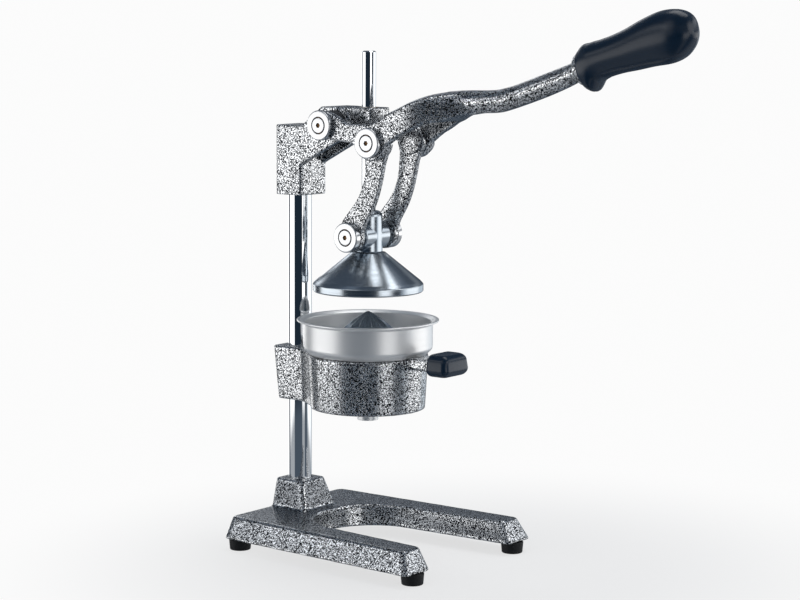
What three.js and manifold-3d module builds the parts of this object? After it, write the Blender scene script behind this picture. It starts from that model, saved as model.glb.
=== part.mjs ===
// Lever citrus press: a U-shaped cast base with a chromed column, a juice bowl in a cast holder,
// and a long lever that pushes a pressing cone down on a reamer through two curved links.
// Millimetres, +Z up. The column stands on the Z axis and the front of the press faces -Y.
// Profiles are drawn in (forward, up) or (across, forward); forward is -Y and across is X.
import * as THREE from 'three';
import { mergeVertices } from 'three/addons/utils/BufferGeometryUtils.js';
import Module from 'manifold-3d';

const wasm = await Module();
wasm.setup();

// Clearances and overruns
const seatGap = 0.3;
const runClearance = 0.08;
const slideClearance = 0.3;
const cutOverrun = 2;
const weldDistance = 0.0005;

// Facets of round pieces
const wideSides = 48;
const roundSides = 32;
const smallSides = 20;
const hexSides = 6;
const cornerSteps = 3;
const ovalPoints = 20;
const cheekSteps = 8;
const legSteps = 8;
const fullTurn = 360;
const mainTurn = 70;
const upperTurn = 36;
const archSteps = 8;

// Column and guide rod
const columnRadius = 10;
const rodOffset = 75.5;
const rodRadius = 6;
const rodProud = 46.7;
const rodChamfer = 1;

// Rubber feet
const footHeight = 9.5;
const footTopRadius = 9.6;
const footFloorRadius = 8.8;
const footSpread = 69;
const footRearInset = 7.5;
const footFrontProud = 1;
const footRecessRadius = 5;
const footRecessDepth = 4.6;
const footScrewHeadRadius = 4.2;
const footScrewHeadHeight = 2.4;
const footScrewRadius = 2;
const footScrewLength = 11;

// Base casting
const baseTop = 28.2;
const baseRear = 15.5;
const baseFront = 177;
const legOuterRear = 73;
const legOuterFront = 79.5;
const legInnerFront = 57;
const bayRadius = 51;
const bayCentre = 82;
const baseCornerRadius = 5;
const legTipRadius = 4;
const outerDraft = 7.5;
const innerDraft = 3;
const frontDraft = 9;
const rearDraft = 3;
const baySteps = 14;
const legRecessWidth = 13;
const legRecessStart = 14;
const legRecessEndInset = 19;
const legRecessDepth = 12;

// Pedestal that carries the column
const pedestalHeight = 24.3;
const pedestalTop = baseTop + pedestalHeight;
const pedestalTopHalf = 15.5;
const pedestalFootHalf = 22;
const pedestalFootFront = 23;
const pedestalRear = 15.4;
const pedestalCornerRadius = 3;
const columnSocketDepth = 18.5;
const columnSocketFloor = pedestalTop - columnSocketDepth;

// Bolt that holds the column from below
const columnBoltRadius = 4;
const columnBoltHeadRadius = 6.6;
const columnBoltHeadHeight = 5;
const columnBoltGrip = 26;
const columnWasherRadius = 8.4;
const columnWasherHeight = 1.6;
const boltRecessDepth = 8;

// Bowl holder casting
const holderTop = 169;
const holderHeight = 46;
const holderBottom = holderTop - holderHeight;
const ringRadius = 51;
const ringDraft = 2.5;
const ringWall = 5.5;
const holderFloor = 4;
const drainHoleRadius = 15;
const clampHalf = 17;
const clampRear = 18;
const clampDraft = 4;
const clampCornerRadius = 5;
const neckForward = 19;
const neckBlend = 11;
const neckAngle = 38;
const ringSteps = 34;

// Side grip on the holder's stub
const stubHalf = 11;
const stubRise = 3;
const stubHeight = 10.5;
const stubReach = 34;
const stubEdge = 1;
const gripCapSide = 5.5;
const gripCapLength = 21;
const gripCapNose = 9;
const gripCapUnder = 3;
const gripCapOver = 5;
const gripCapCorner = 6;

// Head casting
const headTopDrop = 2.2;
const headHeight = 59.5;
const headRear = 14.2;
const headFront = 15.8;
const headHalf = 16.8;
const headCornerRadius = 4;
const headCapWall = 9.5;
const cheekWall = 6;
const cheekRootDrop = 34.7;
const cheekBossRadius = 13.5;
const roofWall = 5;
const bridgeRear = 38;
const bridgeRise = 14.6;
const bridgePlate = 3.5;
const bridgeWebHalf = 6;
const bridgeWebDrop = 9;
const bridgeWebRise = 2;
const guideBossHalf = 12.9;
const guideBossHeight = 26.3;
const guideBossCorner = 2.5;
const bushWall = 2;

// Grub screws that hold the head and the holder on the column
const grubRadius = 3;
const grubSocketRadius = 1.7;
const grubSocketDepth = 2.5;
const headGrubRise = 22;

// Pivots of the linkage, in (forward, up), one placed from the next
const mainPivotForward = 53;
const mainPivotRise = 192.7;
const upperPivotReach = 50.9;
const upperPivotDrop = 12.7;
const linkDrop = 79.8;
const mainPivot = new THREE.Vector2(mainPivotForward, holderTop + mainPivotRise);
const upperPivot = new THREE.Vector2(mainPivot.x + upperPivotReach, mainPivot.y - upperPivotDrop);
const lowerPivot = new THREE.Vector2(rodOffset, upperPivot.y - linkDrop);
const mainPinRadius = 5;
const upperPinRadius = 4.5;
const lowerPinRadius = 4;
const spacerRadius = 12;

// Lever casting, whose fork and bar run from the upper pivot to the flange of the grip
const legInner = 25.3;
const legThickness = 8.5;
const legMainRadius = 12;
const legUpperRadius = 14.8;
const legWaist = 2;
const legLap = 1;
const webThickness = 4.5;
const flangeReach = 183.8;
const flangeRise = 62.95;
const flangeRadius = 12.4;
const flangeThickness = 4;
const tangRadius = 6;
const tangLength = 76;
const barHalfHeight = 10.1;
const barHalfWidth = 11;
const flangeCentre = new THREE.Vector2(upperPivot.x + flangeReach, upperPivot.y + flangeRise);

// Fork sections, as shares of the reach, the half width, and the rise of bottom, shoulder and crown
const forkShares = [
  [0.0822, 1, -0.0254, 0.3542, 0.4257], [0.142, 0.9645, 0.0937, 0.4305, 0.502],
  [0.1964, 0.923, 0.1732, 0.502, 0.5814], [0.2508, 0.84, 0.2542, 0.5465, 0.6418],
  [0.3052, 0.651, 0.2955, 0.548, 0.672], [0.3596, 0.4615, 0.3495, 0.5417, 0.6815],
  [0.414, 0.3254, 0.381, 0.5306, 0.6815],
];

// The wall beside the fork's opening as shares of the leg, and the blunt end of the opening
const forkWallShares = [1, 0.88, 0.88, 0.95];
const forkEndShares = [0.289, 0.36, 0.2955, 0.42, 0.53];

// Bar sections, as shares of the reach, the rise, the half height and the half width
const barShares = [
  [0.3052, 0.521, 0.97, 0.91], [0.3705, 0.5338, 1, 1], [0.4358, 0.5465, 0.98, 0.91],
  [0.4957, 0.5608, 0.91, 0.82], [0.5555, 0.5703, 0.91, 0.78], [0.599, 0.591, 0.91, 0.77],
  [0.6752, 0.6513, 0.88, 0.745], [0.7976, 0.772, 0.89, 0.727], [0.9037, 0.8848, 0.85, 0.71],
  [1, 1, 0.77, 0.69],
];

// Lever grip: its axis angle, and sections as shares of the length, the crest and the half width
const gripAngle = 15.93;
const gripLength = 106;
const gripCrest = 24.2;
const gripHalfWidth = 17.2;
const gripSquareShare = 0.87;
const gripShares = [
  [0.022, 0.54, -0.54, 0.73], [0.044, 0.645, -0.74, 0.84], [0.083, 0.74, -0.805, 0.9],
  [0.132, 0.735, -0.59, 0.93], [0.18, 0.735, -0.515, 0.93], [0.228, 0.73, -0.492, 0.93],
  [0.334, 0.744, -0.5, 0.93], [0.457, 0.806, -0.55, 0.95], [0.597, 0.926, -0.595, 0.98],
  [0.746, 1, -0.665, 1], [0.852, 0.95, -0.603, 0.95], [0.926, 0.826, -0.413, 0.79],
  [0.974, 0.653, -0.194, 0.52], [0.995, 0.37, 0.06, 0.18],
];

// Links: round ends, and the two edges between them as shares of the length and of the width
const linkInner = 20;
const linkThickness = 5;
const linkWidth = 17;
const linkTopRadius = 13.8;
const linkFootRadius = 12.7;
const linkTopTurns = [46, -26];
const linkFootTurns = [33, -22];
const linkEdgeShares = [
  [0.17, 0.73, -0.41], [0.26, 0.79, -0.29], [0.34, 0.835, -0.18], [0.44, 0.865, -0.11],
  [0.54, 0.865, -0.135], [0.63, 0.82, -0.22], [0.72, 0.73, -0.38], [0.8, 0.65, -0.54],
  [0.88, 0.62, -0.69],
];
const linkEndSteps = 12;
const linkHeadRadius = 11.7;
const linkHeadHeight = 2;

// Pivot caps and their screws
const capRadius = 12.5;
const upperCapFace = 38.8;
const lowerCapFace = 30.9;
const capEdge = 0.8;
const capSeatRadius = 7;
const capSeatDepth = 1.5;
const capScrewHeadRadius = 6.4;
const capScrewProud = 0.2;
const capScrewRadius = 2;
const capScrewLength = 8;
const capSocketRadius = 2.3;
const capSocketDepth = 1;

// Crosshead above the cone: an upright sleeve, a cross barrel and arms that meet the links
const hubRadius = 12;
const hubRise = 20.8;
const hubRound = 5;
const hubBarrelRadius = 11.7;
const hubBarrelReach = 16;
const hubArmRadius = 9;
const hubArmReach = 19.6;
const rodSeatRise = 7.8;

// Pressing cone, hung from the crosshead
const coneDrop = 14.2;
const coneTopRadius = 14.5;
const coneRimRadius = 46.6;
const coneSlope = 24;
const coneSkirt = 9;
const coneBand = 6;
const coneShoulderRadius = 44.2;
const coneWall = 4;
const coneEdge = 1.2;
const coneCrown = 5;
const coneCrownRadius = 12;
const coneScrewRadius = 4;
const coneScrewGrip = 7;
const coneScrewHeadRadius = 6.6;
const coneScrewHeadHeight = 4.5;
const coneWasherRadius = 9;
const coneWasherHeight = 1.6;

// Juice bowl
const bowlRimRadius = 60;
const bowlLipRadius = 56;
const bowlWallRadius = 54.8;
const bowlRise = 29.5;
const bowlRimHeight = 2.6;
const bowlWall = 1.5;
const bowlCornerRadius = 5;
const sumpRadius = 44.5;
const sumpDepth = 19;
const funnelDepth = 12;
const spoutRadius = 9;
const spoutDrop = 10.5;
const bowlCornerSteps = 4;

// Strainer plate and reamer
const strainerRadius = 52;
const strainerPlate = 1.4;
const strainerRimHeight = 6;
const strainerSlots = 24;
const strainerSlotWidth = 2.6;
const strainerSlotLength = 7;
const strainerSlotStart = 35;
const reamerFootRadius = 34;
const reamerFootHeight = 3;
const reamerHeight = 32;
const reamerRootRadius = 31;
const reamerRibs = 12;
const reamerRibShare = 0.1;
const reamerSides = 72;
const reamerTipRadius = 1.5;
const reamerProfileShares = [1, 0.955, 0.865, 0.742, 0.592, 0.417, 0.219];

// Colours and finishes seen in the photograph
const finishes = {
  hammertone: { color: 0x6f7375, roughness: 0.42, metalness: 0.55 },
  chrome: { color: 0xd9dcde, roughness: 0.08, metalness: 1 },
  steel: { color: 0xc9cbcb, roughness: 0.28, metalness: 1 },
  aluminium: { color: 0xb9bcbe, roughness: 0.3, metalness: 1 },
  blackPlastic: { color: 0x15181c, roughness: 0.38, metalness: 0 },
  rubber: { color: 0x101113, roughness: 0.75, metalness: 0 },
  nylon: { color: 0x1b1e22, roughness: 0.45, metalness: 0 },
  bronze: { color: 0x8c6d3f, roughness: 0.4, metalness: 1 },
};

const press = new THREE.Group();

// Turning a closed geometry into a solid, and a solid into a named mesh
function solid(geometry) {
  const bare = new THREE.BufferGeometry();
  bare.setAttribute('position', geometry.getAttribute('position'));
  if (geometry.index) bare.setIndex(geometry.index);
  const merged = mergeVertices(bare, weldDistance);
  const index = merged.index.array;
  const triangles = [];
  for (let i = 0; i < index.length; i += 3) {
    const [a, b, c] = index.subarray(i, i + 3);
    if (a !== b && b !== c && c !== a) triangles.push(a, b, c);
  }
  const corners = new Float32Array(merged.getAttribute('position').array);
  const mesh = new wasm.Mesh({ numProp: 3, vertProperties: corners, triVerts: new Uint32Array(triangles) });
  return new wasm.Manifold(mesh);
}

function joined(...solids) {
  return solids.reduce((all, next) => all.add(next));
}

function piece(name, body, finish) {
  const { vertProperties, triVerts } = body.getMesh();
  const geometry = new THREE.BufferGeometry();
  geometry.setAttribute('position', new THREE.BufferAttribute(vertProperties, 3));
  geometry.setIndex(new THREE.BufferAttribute(triVerts, 1));
  geometry.computeVertexNormals();
  const mesh = new THREE.Mesh(geometry, new THREE.MeshStandardMaterial(finishes[finish]));
  mesh.name = name;
  press.add(mesh);
}

// A closed outline of corners [a, b, radius]; a missing radius leaves the corner sharp
function outline(corners) {
  const shape = new THREE.Shape();
  corners.forEach(([a, b, radius = 0], i) => {
    const corner = new THREE.Vector2(a, b);
    const before = new THREE.Vector2(...corners.at(i - 1));
    const after = new THREE.Vector2(...corners[(i + 1) % corners.length]);
    const start = corner.clone().add(before.sub(corner).setLength(radius));
    const end = corner.clone().add(after.sub(corner).setLength(radius));
    if (i === 0) shape.moveTo(start.x, start.y);
    else shape.lineTo(start.x, start.y);
    if (radius > 0) shape.quadraticCurveTo(corner.x, corner.y, end.x, end.y);
  });
  return shape;
}

function rectangle(halfA, lowB, highB, radius) {
  return outline([
    [-halfA, lowB, radius], [halfA, lowB, radius], [halfA, highB, radius], [-halfA, highB, radius],
  ]);
}

// A (forward, up) shape as a plate between two x values
function sidePlate(shape, low, high) {
  const geometry = new THREE.ExtrudeGeometry(shape, {
    depth: high - low, bevelEnabled: false, curveSegments: cornerSteps,
  });
  const turn = new THREE.Matrix4().makeBasis(
    new THREE.Vector3(0, -1, 0), new THREE.Vector3(0, 0, 1), new THREE.Vector3(-1, 0, 0));
  return solid(geometry.applyMatrix4(turn).translate(high, 0, 0));
}

// An (across, forward) shape as a block between two heights
function upright(shape, low, high) {
  const geometry = new THREE.ExtrudeGeometry(shape, {
    depth: high - low, bevelEnabled: false, curveSegments: cornerSteps,
  });
  return solid(geometry.rotateX(Math.PI).translate(0, 0, high));
}

// A round body on the Z axis through points [radius, height], and a plain cylinder
function turned(profile, sides) {
  const points = profile.map(([radius, height]) => new THREE.Vector2(radius, height));
  return new THREE.LatheGeometry(points, sides).rotateX(Math.PI / 2);
}

function rod(radius, low, high, sides = roundSides) {
  return turned([[0, low], [radius, low], [radius, high], [0, high]], sides);
}

// Placing a body that was turned on Z: upright at (across, forward), out along X, or back along Y
function standing(geometry, across, forward) {
  return solid(geometry.translate(across, -forward, 0));
}

function sideways(geometry, side, pivot) {
  return solid(geometry.rotateY(side * Math.PI / 2).translate(0, -pivot.x, pivot.y));
}

function backward(geometry, height) {
  return solid(geometry.rotateX(-Math.PI / 2).translate(0, 0, height));
}

function crossBore(radius, pivot, half) {
  return sideways(rod(radius, -half, half), 1, pivot);
}

// A skin over rings of points that match one to one, closed at both ends
function loft(rings) {
  const count = rings[0].length;
  const points = rings.flat();
  const triangles = [];
  for (let ring = 0; ring < rings.length - 1; ring += 1) {
    for (let i = 0; i < count; i += 1) {
      const a = ring * count + i;
      const b = ring * count + (i + 1) % count;
      triangles.push(a, b, a + count, b, b + count, a + count);
    }
  }
  const last = points.length - count;
  for (const [a, b, c] of capTriangles(rings[0])) triangles.push(a, c, b);
  for (const [a, b, c] of capTriangles(rings.at(-1))) triangles.push(last + a, last + b, last + c);
  const geometry = new THREE.BufferGeometry().setFromPoints(points);
  geometry.setIndex(triangles);
  return solid(geometry);
}

// Triangles over a flat ring, seen along its own normal
function capTriangles(ring) {
  const normal = new THREE.Vector3();
  ring.forEach((point, i) => {
    normal.add(point.clone().cross(ring[(i + 1) % ring.length]));
  });
  const turn = new THREE.Quaternion().setFromUnitVectors(normal.normalize(), new THREE.Vector3(0, 0, 1));
  const flat = ring.map((point) => {
    const turnedPoint = point.clone().applyQuaternion(turn);
    return new THREE.Vector2(turnedPoint.x, turnedPoint.y);
  });
  return THREE.ShapeUtils.triangulateShape(flat, []);
}

// The points of an (across, forward) outline at one height, in the direction that lofts outward
function levelRing(shape, height) {
  const points = shape.getPoints(cornerSteps);
  if (!THREE.ShapeUtils.isClockWise(points)) points.reverse();
  return points.map((point) => new THREE.Vector3(point.x, -point.y, height));
}

// A bar of oval rings along a path of [forward, up, half height, half width] stations
function ovalBar(stations, squareShare = 1, direction = null) {
  const centres = stations.map(([forward, up]) => new THREE.Vector2(forward, up));
  return loft(stations.map(([, , halfHeight, halfWidth], i) => {
    const next = centres[Math.min(i + 1, centres.length - 1)].clone();
    const along = direction ?? next.sub(centres[Math.max(i - 1, 0)]);
    const lift = new THREE.Vector2(-along.y, along.x).normalize();
    const ring = [];
    for (let k = 0; k < ovalPoints; k += 1) {
      const angle = 2 * Math.PI * k / ovalPoints;
      const across = halfWidth * swell(Math.cos(angle), squareShare);
      const climb = halfHeight * swell(Math.sin(angle), squareShare);
      const middle = centres[i].clone().addScaledVector(lift, climb);
      ring.push(new THREE.Vector3(across, -middle.x, middle.y));
    }
    return ring;
  }));
}

// A sine or cosine bent towards a squarer oval
function swell(value, share) {
  return Math.sign(value) * Math.abs(value) ** share;
}

// Feet

function foot(name, across, forward) {
  const body = turned([
    [footScrewRadius + runClearance, footRecessDepth], [footRecessRadius, footRecessDepth],
    [footRecessRadius, 0], [footFloorRadius, 0],
    [footTopRadius, footHeight - seatGap], [footScrewRadius + runClearance, footHeight - seatGap],
    [footScrewRadius + runClearance, footRecessDepth],
  ], smallSides);
  piece(`foot_${name}`, standing(body, across, forward), 'rubber');
  const headLow = footRecessDepth - footScrewHeadHeight;
  const screw = turned([
    [0, headLow], [footScrewHeadRadius, headLow], [footScrewHeadRadius, footRecessDepth - seatGap],
    [footScrewRadius, footRecessDepth - seatGap], [footScrewRadius, footHeight + footScrewLength],
    [0, footHeight + footScrewLength],
  ], smallSides);
  piece(`foot_screw_${name}`, standing(screw, across, forward), 'steel');
}

const footRear = footRearInset - baseRear;
const footFront = baseFront + footFrontProud;
const footPlaces = [
  ['front_left', -footSpread, footFront], ['front_right', footSpread, footFront],
  ['rear_left', -footSpread, footRear], ['rear_right', footSpread, footRear],
];
for (const [name, across, forward] of footPlaces) foot(name, across, forward);

// Base casting with its pedestal

function baseOutline(outward, inward, ahead, behind) {
  const bay = bayRadius - inward;
  const curve = [];
  for (let i = 0; i <= baySteps; i += 1) {
    const angle = Math.PI * i / baySteps;
    curve.push([-bay * Math.cos(angle), bayCentre - bay * Math.sin(angle)]);
  }
  const tip = baseFront + ahead;
  const outer = legOuterFront + outward;
  const inner = legInnerFront - inward;
  const back = legOuterRear + outward;
  return outline([
    [-outer, tip, legTipRadius], [-inner, tip, legTipRadius], ...curve,
    [inner, tip, legTipRadius], [outer, tip, legTipRadius],
    [back, -baseRear - behind, baseCornerRadius], [-back, -baseRear - behind, baseCornerRadius],
  ]);
}

function pedestalRing(half, front, height) {
  return levelRing(rectangle(half, -pedestalRear, front, pedestalCornerRadius), height);
}

function legRecess(side) {
  const middle = (legInnerFront + legOuterFront) / 2;
  const half = legRecessWidth / 2;
  const end = baseFront - legRecessEndInset;
  const recess = outline([
    [side * (middle - half), legRecessStart, half], [side * (middle + half), legRecessStart, half],
    [side * (middle + half), end, half], [side * (middle - half), end, half],
  ]);
  return upright(recess, footHeight - cutOverrun, footHeight + legRecessDepth);
}

let base = loft([
  levelRing(baseOutline(outerDraft, innerDraft, frontDraft, rearDraft), footHeight),
  levelRing(baseOutline(0, 0, 0, 0), baseTop),
]);
base = base.add(loft([
  pedestalRing(pedestalFootHalf, pedestalFootFront, (footHeight + baseTop) / 2),
  pedestalRing(pedestalFootHalf, pedestalFootFront, baseTop),
  pedestalRing(pedestalTopHalf, pedestalTopHalf, pedestalTop),
]));
for (const side of [-1, 1]) base = base.subtract(legRecess(side));
const footHoleTop = footHeight + footScrewLength + seatGap;
for (const [, across, forward] of footPlaces) {
  const hole = rod(footScrewRadius + runClearance, footHeight - cutOverrun, footHoleTop, smallSides);
  base = base.subtract(standing(hole, across, forward));
}
const boltRecessTop = footHeight + boltRecessDepth;
const boltHole = columnBoltRadius + runClearance;
base = base
  .subtract(solid(rod(columnRadius + runClearance, columnSocketFloor, pedestalTop + cutOverrun)))
  .subtract(solid(rod(boltHole, footHeight, columnSocketFloor + cutOverrun, smallSides)))
  .subtract(solid(rod(columnWasherRadius + seatGap, footHeight - cutOverrun, boltRecessTop)));
piece('base_casting', base, 'hammertone');

// Column, its bolt and washer

const columnFoot = columnSocketFloor + seatGap;
const headTop = mainPivot.y - headTopDrop;
const headSocketTop = headTop - headCapWall;
const columnHead = headSocketTop - seatGap;
const columnBoltTop = columnSocketFloor + columnBoltGrip;
const columnHole = rod(boltHole, columnFoot - cutOverrun, columnBoltTop + cutOverrun, smallSides);
piece('column', solid(rod(columnRadius, columnFoot, columnHead)).subtract(solid(columnHole)), 'chrome');

const washerTop = boltRecessTop - seatGap;
const washerLow = washerTop - columnWasherHeight;
piece('column_washer', solid(turned([
  [boltHole, washerLow], [columnWasherRadius, washerLow], [columnWasherRadius, washerTop],
  [boltHole, washerTop], [boltHole, washerLow],
], smallSides)), 'steel');

const boltHeadTop = washerLow - seatGap;
piece('column_bolt', joined(
  solid(rod(columnBoltHeadRadius, boltHeadTop - columnBoltHeadHeight, boltHeadTop, hexSides)),
  solid(rod(columnBoltRadius, boltHeadTop - columnBoltHeadHeight / 2, columnBoltTop, smallSides)),
), 'steel');

// Bowl holder

function holderOutline(inset) {
  const radius = ringRadius - inset;
  const half = clampHalf - inset / 2;
  const corners = [[-half, -clampRear + inset, clampCornerRadius], [-half, neckForward, neckBlend]];
  const start = THREE.MathUtils.degToRad(neckAngle);
  for (let i = 0; i <= ringSteps; i += 1) {
    const angle = start + (2 * Math.PI - 2 * start) * i / ringSteps;
    corners.push([-radius * Math.sin(angle), rodOffset - radius * Math.cos(angle)]);
  }
  corners.push([half, neckForward, neckBlend], [half, -clampRear + inset, clampCornerRadius]);
  return outline(corners);
}

function grubHole(height, rear) {
  return backward(rod(grubRadius + runClearance, columnRadius, rear + cutOverrun, smallSides), height);
}

const holderMiddle = (holderBottom + holderTop) / 2;
const stubRear = rodOffset + ringRadius - ringWall;
const stubFront = rodOffset + ringRadius + stubReach;
const stubTop = holderTop + stubRise;
const stubBottom = stubTop - stubHeight;
const stubClear = rod(bowlWallRadius + seatGap, holderTop, stubTop + cutOverrun, wideSides);
const holderStub = sidePlate(outline([
  [stubRear, stubBottom], [stubFront, stubBottom, stubEdge],
  [stubFront, stubTop, stubEdge], [stubRear, stubTop],
]), -stubHalf, stubHalf);
const cupRoom = rod(ringRadius - ringWall, holderBottom + holderFloor, holderTop + cutOverrun, wideSides);
const holder = joined(
  loft([levelRing(holderOutline(ringDraft), holderBottom), levelRing(holderOutline(0), holderTop)]),
  holderStub.subtract(standing(stubClear, 0, rodOffset)),
)
  .subtract(standing(cupRoom, 0, rodOffset))
  .subtract(standing(rod(drainHoleRadius, holderBottom - cutOverrun, holderTop), 0, rodOffset))
  .subtract(solid(rod(columnRadius + runClearance, holderBottom - cutOverrun, holderTop + cutOverrun)))
  .subtract(grubHole(holderMiddle, clampRear));
piece('bowl_holder', holder, 'hammertone');

function grub(name, height, rear) {
  const inner = columnRadius + seatGap;
  const outer = rear - seatGap;
  const screw = rod(grubRadius, inner, outer, smallSides);
  const socket = rod(grubSocketRadius, outer - grubSocketDepth, outer + cutOverrun, hexSides);
  piece(name, backward(screw, height).subtract(backward(socket, height)), 'steel');
}

grub('holder_grub', holderMiddle, clampRear - clampDraft);

// Grip cap on the holder's stub

const gripCapHalf = stubHalf + gripCapSide;
const gripCapFront = stubFront + gripCapNose;
const gripCapRear = gripCapFront - gripCapLength;
const gripCapBottom = stubBottom - gripCapUnder;
const gripCapTop = stubTop + gripCapOver;
const gripCapSection = outline([
  [gripCapRear, gripCapBottom, gripCapCorner], [gripCapFront, gripCapBottom, gripCapCorner],
  [gripCapFront, gripCapTop, gripCapCorner], [gripCapRear, gripCapTop, gripCapCorner],
]);
const gripCapPlan = rectangle(gripCapHalf, gripCapRear, gripCapFront, gripCapCorner);
const stubRoom = sidePlate(outline([
  [gripCapRear - cutOverrun, stubBottom - seatGap], [stubFront + seatGap, stubBottom - seatGap],
  [stubFront + seatGap, stubTop + seatGap], [gripCapRear - cutOverrun, stubTop + seatGap],
]), -stubHalf - seatGap, stubHalf + seatGap);
piece('side_grip', sidePlate(gripCapSection, -gripCapHalf, gripCapHalf)
  .intersect(upright(gripCapPlan, gripCapBottom, gripCapTop))
  .subtract(stubRoom), 'blackPlastic');

// Head casting

// Points round an arc of a circle in (forward, up), from one angle to another in degrees
function arc(centre, radius, from, to, steps) {
  const points = [];
  for (let i = 0; i <= steps; i += 1) {
    const angle = THREE.MathUtils.degToRad(from + (to - from) * i / steps);
    points.push([centre.x + radius * Math.cos(angle), centre.y + radius * Math.sin(angle)]);
  }
  return points;
}

// The angle, in degrees, at which a line from a point touches a circle on its clockwise side
function tangentAngle(point, centre, radius) {
  const gap = centre.clone().sub(point);
  return THREE.MathUtils.radToDeg(gap.angle() + Math.acos(radius / gap.length()) - Math.PI);
}

const headBottom = headTop - headHeight;
const bridgeTop = mainPivot.y + bridgeRise;
const guideBossBottom = bridgeTop - guideBossHeight;
const cheekRootLow = mainPivot.y - cheekRootDrop;
const cheekRoot = new THREE.Vector2(headFront, cheekRootLow);
const cheekTouch = tangentAngle(cheekRoot, mainPivot, cheekBossRadius);
const bossTop = mainPivot.y + cheekBossRadius;
const cheek = outline([
  [0, cheekRootLow], [cheekRoot.x, cheekRoot.y],
  ...arc(mainPivot, cheekBossRadius, cheekTouch, 90, cheekSteps),
  [bridgeRear, bossTop], [headFront, headTop], [0, headTop],
]);
const roof = outline([
  [0, headTop - roofWall], [headFront, headTop - roofWall], [bridgeRear, bridgeTop - roofWall],
  [mainPivot.x, bridgeTop - roofWall], [mainPivot.x, bridgeTop], [bridgeRear, bridgeTop],
  [headFront, headTop], [0, headTop],
]);
const bridgeWeb = outline([
  [headFront - cheekWall, headTop - roofWall], [mainPivot.x, mainPivot.y - bridgeWebDrop],
  [rodOffset, guideBossBottom + bridgeWebRise], [rodOffset, bridgeTop - bridgePlate / 2],
  [bridgeRear, bridgeTop - bridgePlate],
]);
const guidePlan = outline([
  [-guideBossHalf, rodOffset - guideBossHalf, guideBossCorner],
  [guideBossHalf, rodOffset - guideBossHalf, guideBossCorner],
  [guideBossHalf, rodOffset + guideBossHalf, guideBossCorner],
  [-guideBossHalf, rodOffset + guideBossHalf, guideBossCorner],
]);
const bushRoom = rodRadius + bushWall + runClearance;
const bridgeDeck = rectangle(guideBossHalf, mainPivot.x - cutOverrun, rodOffset, 0);
const head = joined(
  upright(rectangle(headHalf, -headRear, headFront, headCornerRadius), headBottom, headTop),
  sidePlate(cheek, headHalf - cheekWall, headHalf),
  sidePlate(cheek, -headHalf, cheekWall - headHalf),
  sidePlate(roof, -headHalf, headHalf),
  sidePlate(bridgeWeb, -bridgeWebHalf, bridgeWebHalf),
  upright(bridgeDeck, bridgeTop - bridgePlate, bridgeTop),
  upright(guidePlan, guideBossBottom, bridgeTop),
)
  .subtract(solid(rod(columnRadius + runClearance, headBottom - cutOverrun, headSocketTop)))
  .subtract(standing(rod(bushRoom, guideBossBottom - cutOverrun, bridgeTop + cutOverrun), 0, rodOffset))
  .subtract(crossBore(mainPinRadius + runClearance, mainPivot, headHalf + cutOverrun))
  .subtract(grubHole(headBottom + headGrubRise, headRear));
piece('head_casting', head, 'hammertone');
grub('head_grub', headBottom + headGrubRise, headRear);

const bushBore = rodRadius + slideClearance;
piece('guide_bush', standing(turned([
  [bushBore, guideBossBottom], [rodRadius + bushWall, guideBossBottom], [rodRadius + bushWall, bridgeTop],
  [bushBore, bridgeTop], [bushBore, guideBossBottom],
], roundSides), 0, rodOffset), 'bronze');

// Pivot caps with their screws

function pivotCap(name, side, pivot, inner, outer) {
  const seat = outer - capSeatDepth;
  piece(`${name}_cap`, sideways(turned([
    [capScrewRadius + runClearance, inner], [capRadius, inner], [capRadius, outer - capEdge],
    [capRadius - capEdge, outer], [capSeatRadius, outer], [capSeatRadius, seat],
    [capScrewRadius + runClearance, seat], [capScrewRadius + runClearance, inner],
  ], roundSides), side, pivot), 'steel');
  const screwTop = outer + capScrewProud;
  const screwSeat = seat + runClearance;
  const screw = turned([
    [0, inner - capScrewLength], [capScrewRadius, inner - capScrewLength], [capScrewRadius, screwSeat],
    [capScrewHeadRadius, screwSeat], [capScrewHeadRadius, screwTop], [0, screwTop],
  ], roundSides);
  const socket = rod(capSocketRadius, screwTop - capSocketDepth, screwTop + cutOverrun, hexSides);
  piece(`${name}_screw`, sideways(screw, side, pivot).subtract(sideways(socket, side, pivot)), 'steel');
}

function screwHole(side, pivot, end) {
  const low = end - capScrewLength - 2 * seatGap;
  return sideways(rod(capScrewRadius + runClearance, low, end + cutOverrun), side, pivot);
}

const legOuter = legInner + legThickness;
const sides = [['left', -1], ['right', 1]];
let mainPin = crossBore(mainPinRadius, mainPivot, legOuter);
for (const [name, side] of sides) {
  mainPin = mainPin.subtract(screwHole(side, mainPivot, legOuter));
  pivotCap(`main_${name}`, side, mainPivot, legOuter + seatGap, upperCapFace);
  const spacer = sideways(turned([
    [mainPinRadius + slideClearance, headHalf + seatGap], [spacerRadius, headHalf + seatGap],
    [spacerRadius, legInner - seatGap], [mainPinRadius + slideClearance, legInner - seatGap],
    [mainPinRadius + slideClearance, headHalf + seatGap],
  ], roundSides), side, mainPivot);
  piece(`main_spacer_${name}`, spacer, 'nylon');
}
piece('main_pin', mainPin, 'steel');

// Lever casting: two legs, an arched web that joins them, a bar and a flange with a tang

// Stations of the fork and of the opening's end: forward, half width, bottom, shoulder, crown
function forkStation([reach, half, ...rises]) {
  const heights = rises.map((rise) => upperPivot.y + rise * flangeRise);
  return [upperPivot.x + reach * flangeReach, half * legOuter, ...heights];
}
const forkStations = forkShares.map(forkStation);
const [forkMouth, , mouthLow, mouthShoulder] = forkStations[0];

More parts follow.
